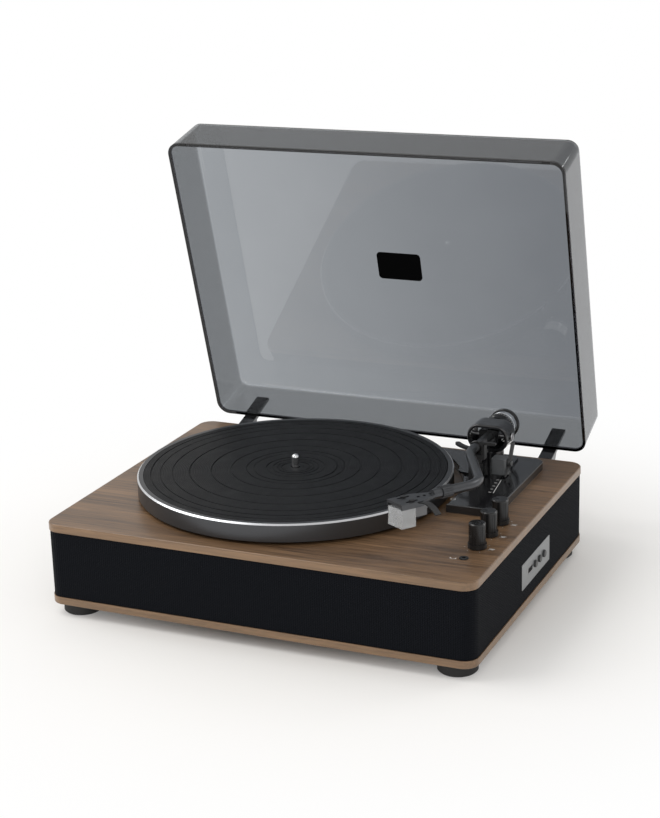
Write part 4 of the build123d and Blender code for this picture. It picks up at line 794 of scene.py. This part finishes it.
def ink_ring(radius, width, x, y, z, sweep=2 * math.pi, first=0.0, steps=32):
    """An arc of ink, made by spinning a short line round its centre."""
    mesh = bpy.data.meshes.new("arc")
    inner = Vector((math.cos(first), math.sin(first), 0)) * (radius - width / 2)
    outer = Vector((math.cos(first), math.sin(first), 0)) * (radius + width / 2)
    mesh.from_pydata([inner, outer], [(0, 1)], [])
    arc = bpy.data.objects.new("arc", mesh)
    bpy.context.scene.collection.objects.link(arc)
    pick(arc)
    bpy.ops.object.mode_set(mode="EDIT")
    bpy.ops.mesh.select_all(action="SELECT")
    bpy.ops.mesh.spin(steps=steps, angle=sweep, center=(0, 0, 0), axis=(0, 0, 1))
    bpy.ops.mesh.select_all(action="SELECT")
    bpy.ops.mesh.remove_doubles(threshold=1e-6)
    bpy.ops.mesh.normals_make_consistent(inside=False)
    bpy.ops.object.mode_set(mode="OBJECT")
    if arc.data.polygons and arc.data.polygons[0].normal.z < 0:
        arc.data.flip_normals()
    arc.data.transform(Matrix.Translation((x, y, z)))
    return arc


def join(pieces, name, body, material):
    let_go()
    for piece in pieces:
        piece.select_set(True)
    bpy.context.view_layer.objects.active = pieces[0]
    bpy.ops.object.join()
    piece = settle(bpy.context.object, name, body)
    piece.data.materials.clear()
    piece.data.materials.append(material)
    return piece


# %% Marks beside the knobs
INK_Z = DECK_TOP + INK_LIFT
KNOB_X, FIRST_KNOB_Y, KNOB_PITCH = 0.185, DECK_Y - 0.0825, 0.031
STOP_RADIUS, LEVEL_X = 0.0112, 0.1985
PHONE_X, PHONE_Y, PHONE_RADIUS = 0.1735, DECK_Y - 0.1120, 0.0024
marks = []
for knob_index in range(3):
    knob_y = FIRST_KNOB_Y + KNOB_PITCH * knob_index
    for stop in range(7):
        angle = math.radians(150 - 50 * stop)
        spot_x = KNOB_X + STOP_RADIUS * math.sin(angle)
        spot_y = knob_y + STOP_RADIUS * math.cos(angle)
        marks.append(ink_bar(0.0005, 0.0012, spot_x, spot_y, INK_Z, -angle))
    marks.append(ink_bar(0.0052, 0.0009, LEVEL_X, knob_y + 0.0006, INK_Z))
    marks.append(ink_bar(0.0036, 0.0009, LEVEL_X, knob_y - 0.0012, INK_Z))

# The headphone is half a ring with a short bar at each end.
marks.append(ink_ring(PHONE_RADIUS, 0.0006, PHONE_X, PHONE_Y, INK_Z, sweep=math.pi, steps=16))
for side in (-1, 1):
    cup_x = PHONE_X + side * PHONE_RADIUS
    marks.append(ink_bar(0.0012, 0.0021, cup_x, DECK_Y - 0.1128, INK_Z))
deck_marks = join(marks, "deck_marks", "cabinet", ink)
print("deck marks:", len(deck_marks.data.polygons), "faces")

# %% Marks on the arm's base
BASE_HEIGHT = 0.008
BASE_Z = DECK_TOP + BASE_HEIGHT + INK_LIFT
SCALE_X, SCALE_Y, SCALE_LENGTH, SCALE_STEPS = 0.153, DECK_Y + 0.066, 0.034, 4
marks = []
for stop in range(SCALE_STEPS + 1):
    part_way = stop / SCALE_STEPS
    tick_x = SCALE_X + 0.004 * part_way
    tick_y = SCALE_Y - SCALE_LENGTH * part_way
    marks.append(ink_bar(0.0026, 0.0007, tick_x, tick_y, BASE_Z, 0.2))
marks.append(ink_bar(0.0006, 0.036, 0.1585, DECK_Y + 0.049, BASE_Z, 0.12))
marks.append(ink_ring(0.0021, 0.0006, 0.131, DECK_Y + 0.0035, BASE_Z))
base_marks = join(marks, "base_marks", "cabinet", ink)
print("base marks:", len(base_marks.data.polygons), "faces")

# %% [markdown]
# ## The counterweight's dial
#
# The dial shows the tracking force in plain numbers. Each number is a text made into a mesh and
# laid on the dial's slope. The ticks between them are bars of ink.

# %% Dial numbers and ticks
dial_pieces = []
DIAL_START, DIAL_LENGTH = 0.0167, 0.009
DIAL_FRONT, DIAL_BACK = 0.0125, 0.0145
DIAL_LIFT = 0.00012
DIAL_FIRST, NUMBER_STEP, TICK_STEP = -20, 80, 10
NUMBER_SIZE, NUMBER_ALONG = 0.0042, 0.0028
TICK_WIDTH, LONG_TICK, SHORT_TICK, TICK_ALONG = 0.0004, 0.0022, 0.0014, 0.0074
slope = math.atan2(DIAL_BACK - DIAL_FRONT, DIAL_LENGTH)


def on_dial(angle, along):
    """A frame on the dial's slope: x round the dial, y along the arm to the head, z outwards."""
    radius = DIAL_FRONT + (DIAL_BACK - DIAL_FRONT) * along / DIAL_LENGTH + DIAL_LIFT
    return (
        arm_frame
        @ Matrix.Rotation(angle, 4, "Y")
        @ Matrix.Translation((0, DIAL_START + along, radius))
        @ Matrix.Rotation(slope, 4, "X")
    )


for number in range(4):
    let_go()
    bpy.ops.object.text_add(location=(0, 0, 0))
    text = bpy.context.object
    text.data.body = str(number)
    text.data.size = NUMBER_SIZE
    text.data.align_x = "CENTER"
    text.data.align_y = "CENTER"
    text.data.resolution_u = 3
    bpy.ops.object.convert(target="MESH")
    text = bpy.context.object
    angle = math.radians(DIAL_FIRST + NUMBER_STEP * number)
    text.data.transform(on_dial(angle, NUMBER_ALONG))
    dial_pieces.append(text)
for tick in range(36):
    length = LONG_TICK if tick % 4 == 0 else SHORT_TICK
    bar = ink_bar(TICK_WIDTH, length, 0, 0, 0)
    angle = math.radians(DIAL_FIRST + TICK_STEP * tick)
    bar.data.transform(on_dial(angle, TICK_ALONG))
    dial_pieces.append(bar)
dial_marks = join(dial_pieces, "dial_marks", "dial", ink)
print("dial marks:", len(dial_marks.data.polygons), "faces")

# %% [markdown]
# ## The counterweight
#
# The real weight has a wide chromed band and a black ring behind it. Each has a profile that is
# spun round the arm's axis, and together they replace the plain solid. A fine groove runs round
# the band.

# %% Counterweight
def turned(profile, steps=96):
    """Spins a profile of (distance along the arm, radius) points round the arm's axis."""
    mesh = bpy.data.meshes.new("turned")
    points = [Vector((0, along, radius)) for along, radius in profile]
    count = len(points)
    mesh.from_pydata(points, [(i, i + 1) for i in range(count - 1)], [])
    piece = bpy.data.objects.new("turned", mesh)
    bpy.context.scene.collection.objects.link(piece)
    pick(piece)
    bpy.ops.object.mode_set(mode="EDIT")
    bpy.ops.mesh.select_all(action="SELECT")
    bpy.ops.mesh.spin(steps=steps, angle=2 * math.pi, center=(0, 0, 0), axis=(0, 1, 0))
    bpy.ops.mesh.select_all(action="SELECT")
    bpy.ops.mesh.remove_doubles(threshold=1e-6)
    bpy.ops.mesh.normals_make_consistent(inside=False)
    bpy.ops.object.mode_set(mode="OBJECT")
    bpy.ops.object.shade_smooth_by_angle(angle=math.radians(30))
    return piece


WEIGHT_BORE = 0.0041
BAND_FRONT, BAND_BACK, BAND_RADIUS = 0.0261, 0.0381, 0.0138
RING_FRONT, RING_RADIUS = 0.0382, 0.0150
band = turned(
    [
        (BAND_FRONT, WEIGHT_BORE),
        (BAND_FRONT, 0.0128),
        (0.0266, 0.0137),
        (0.0300, BAND_RADIUS),
        (0.0303, 0.0134),
        (0.0306, BAND_RADIUS),
        (0.0344, BAND_RADIUS),
        (0.0376, BAND_RADIUS),
        (BAND_BACK, 0.0132),
        (BAND_BACK, WEIGHT_BORE),
        (BAND_FRONT, WEIGHT_BORE),
    ]
)
settle(band, "weight_band", "weight", arm_frame)
band.data.materials.append(chrome)
ring = turned(
    [
        (RING_FRONT, WEIGHT_BORE),
        (RING_FRONT, 0.0144),
        (0.0388, RING_RADIUS),
        (0.0418, RING_RADIUS),
        (0.0428, 0.0142),
        (0.0430, 0.0132),
        (0.0426, 0.0110),
        (0.0426, 0.0),
    ]
)
settle(ring, "weight_ring", "weight", arm_frame)
ring.data.materials.append(satin_black)
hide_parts("counterweight")
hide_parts("counterweight")
print("counterweight:", len(band.data.polygons) + len(ring.data.polygons), "faces")

# %% [markdown]
# ## Small arm fittings
#
# A ring clamps the tube near its rest, and dished caps cover the pivot screws at the gimbal's
# sides. Both catch small highlights in the photograph.

# %% Tube clip
CLIP_FRONT, CLIP_BACK = -0.0445, -0.0415
CLIP_BORE, CLIP_EDGE, CLIP_RADIUS = 0.00453, 0.0056, 0.0060
clip = turned(
    [
        (CLIP_FRONT, CLIP_BORE),
        (CLIP_FRONT, CLIP_EDGE),
        (-0.0441, CLIP_RADIUS),
        (-0.0419, CLIP_RADIUS),
        (CLIP_BACK, CLIP_EDGE),
        (CLIP_BACK, CLIP_BORE),
        (CLIP_FRONT, CLIP_BORE),
    ],
    steps=48,
)
settle(clip, "tube_clip", "arm", arm_frame)
clip.data.materials.append(satin_black)

# %% Pivot caps
CAP_RADIUS, CAP_HEIGHT, CAP_OFFSET = 0.0040, 0.0009, 0.02155
CAP_RIM, CAP_SLOPE, CAP_DISH, CAP_EDGE = 0.0012, 0.0004, 0.0003, 0.00025
caps = []
for side in (-1, 1):
    let_go()
    bpy.ops.mesh.primitive_cylinder_add(
        vertices=40, radius=CAP_RADIUS, depth=CAP_HEIGHT, location=(0, 0, 0)
    )
    cap = bpy.context.object
    bpy.ops.object.mode_set(mode="EDIT")
    select_faces(lambda centre, normal: normal.z > 0.9)
    bpy.ops.mesh.inset(thickness=CAP_RIM)
    bpy.ops.mesh.inset(thickness=CAP_SLOPE)
    bpy.ops.transform.translate(value=(0, 0, -CAP_DISH))
    bpy.ops.object.mode_set(mode="OBJECT")
    apply_bevel(cap, CAP_EDGE)
    bpy.ops.object.shade_smooth_by_angle(angle=math.radians(35))
    facing_out = Matrix.Rotation(side * math.pi / 2, 4, "Y")
    cap.data.transform(Matrix.Translation((side * CAP_OFFSET, 0, 0)) @ facing_out)
    caps.append(cap)
pivot_caps = join(caps, "pivot_caps", "gimbal", screw_steel)
pivot_caps.data.transform(Matrix.Translation(ARM))
print("caps:", len(pivot_caps.data.polygons), "faces")

# %% [markdown]
# ## The end
#
# The last step sets the scene's view transform to Standard.

# %% Finish
bpy.context.scene.view_settings.view_transform = "Standard"
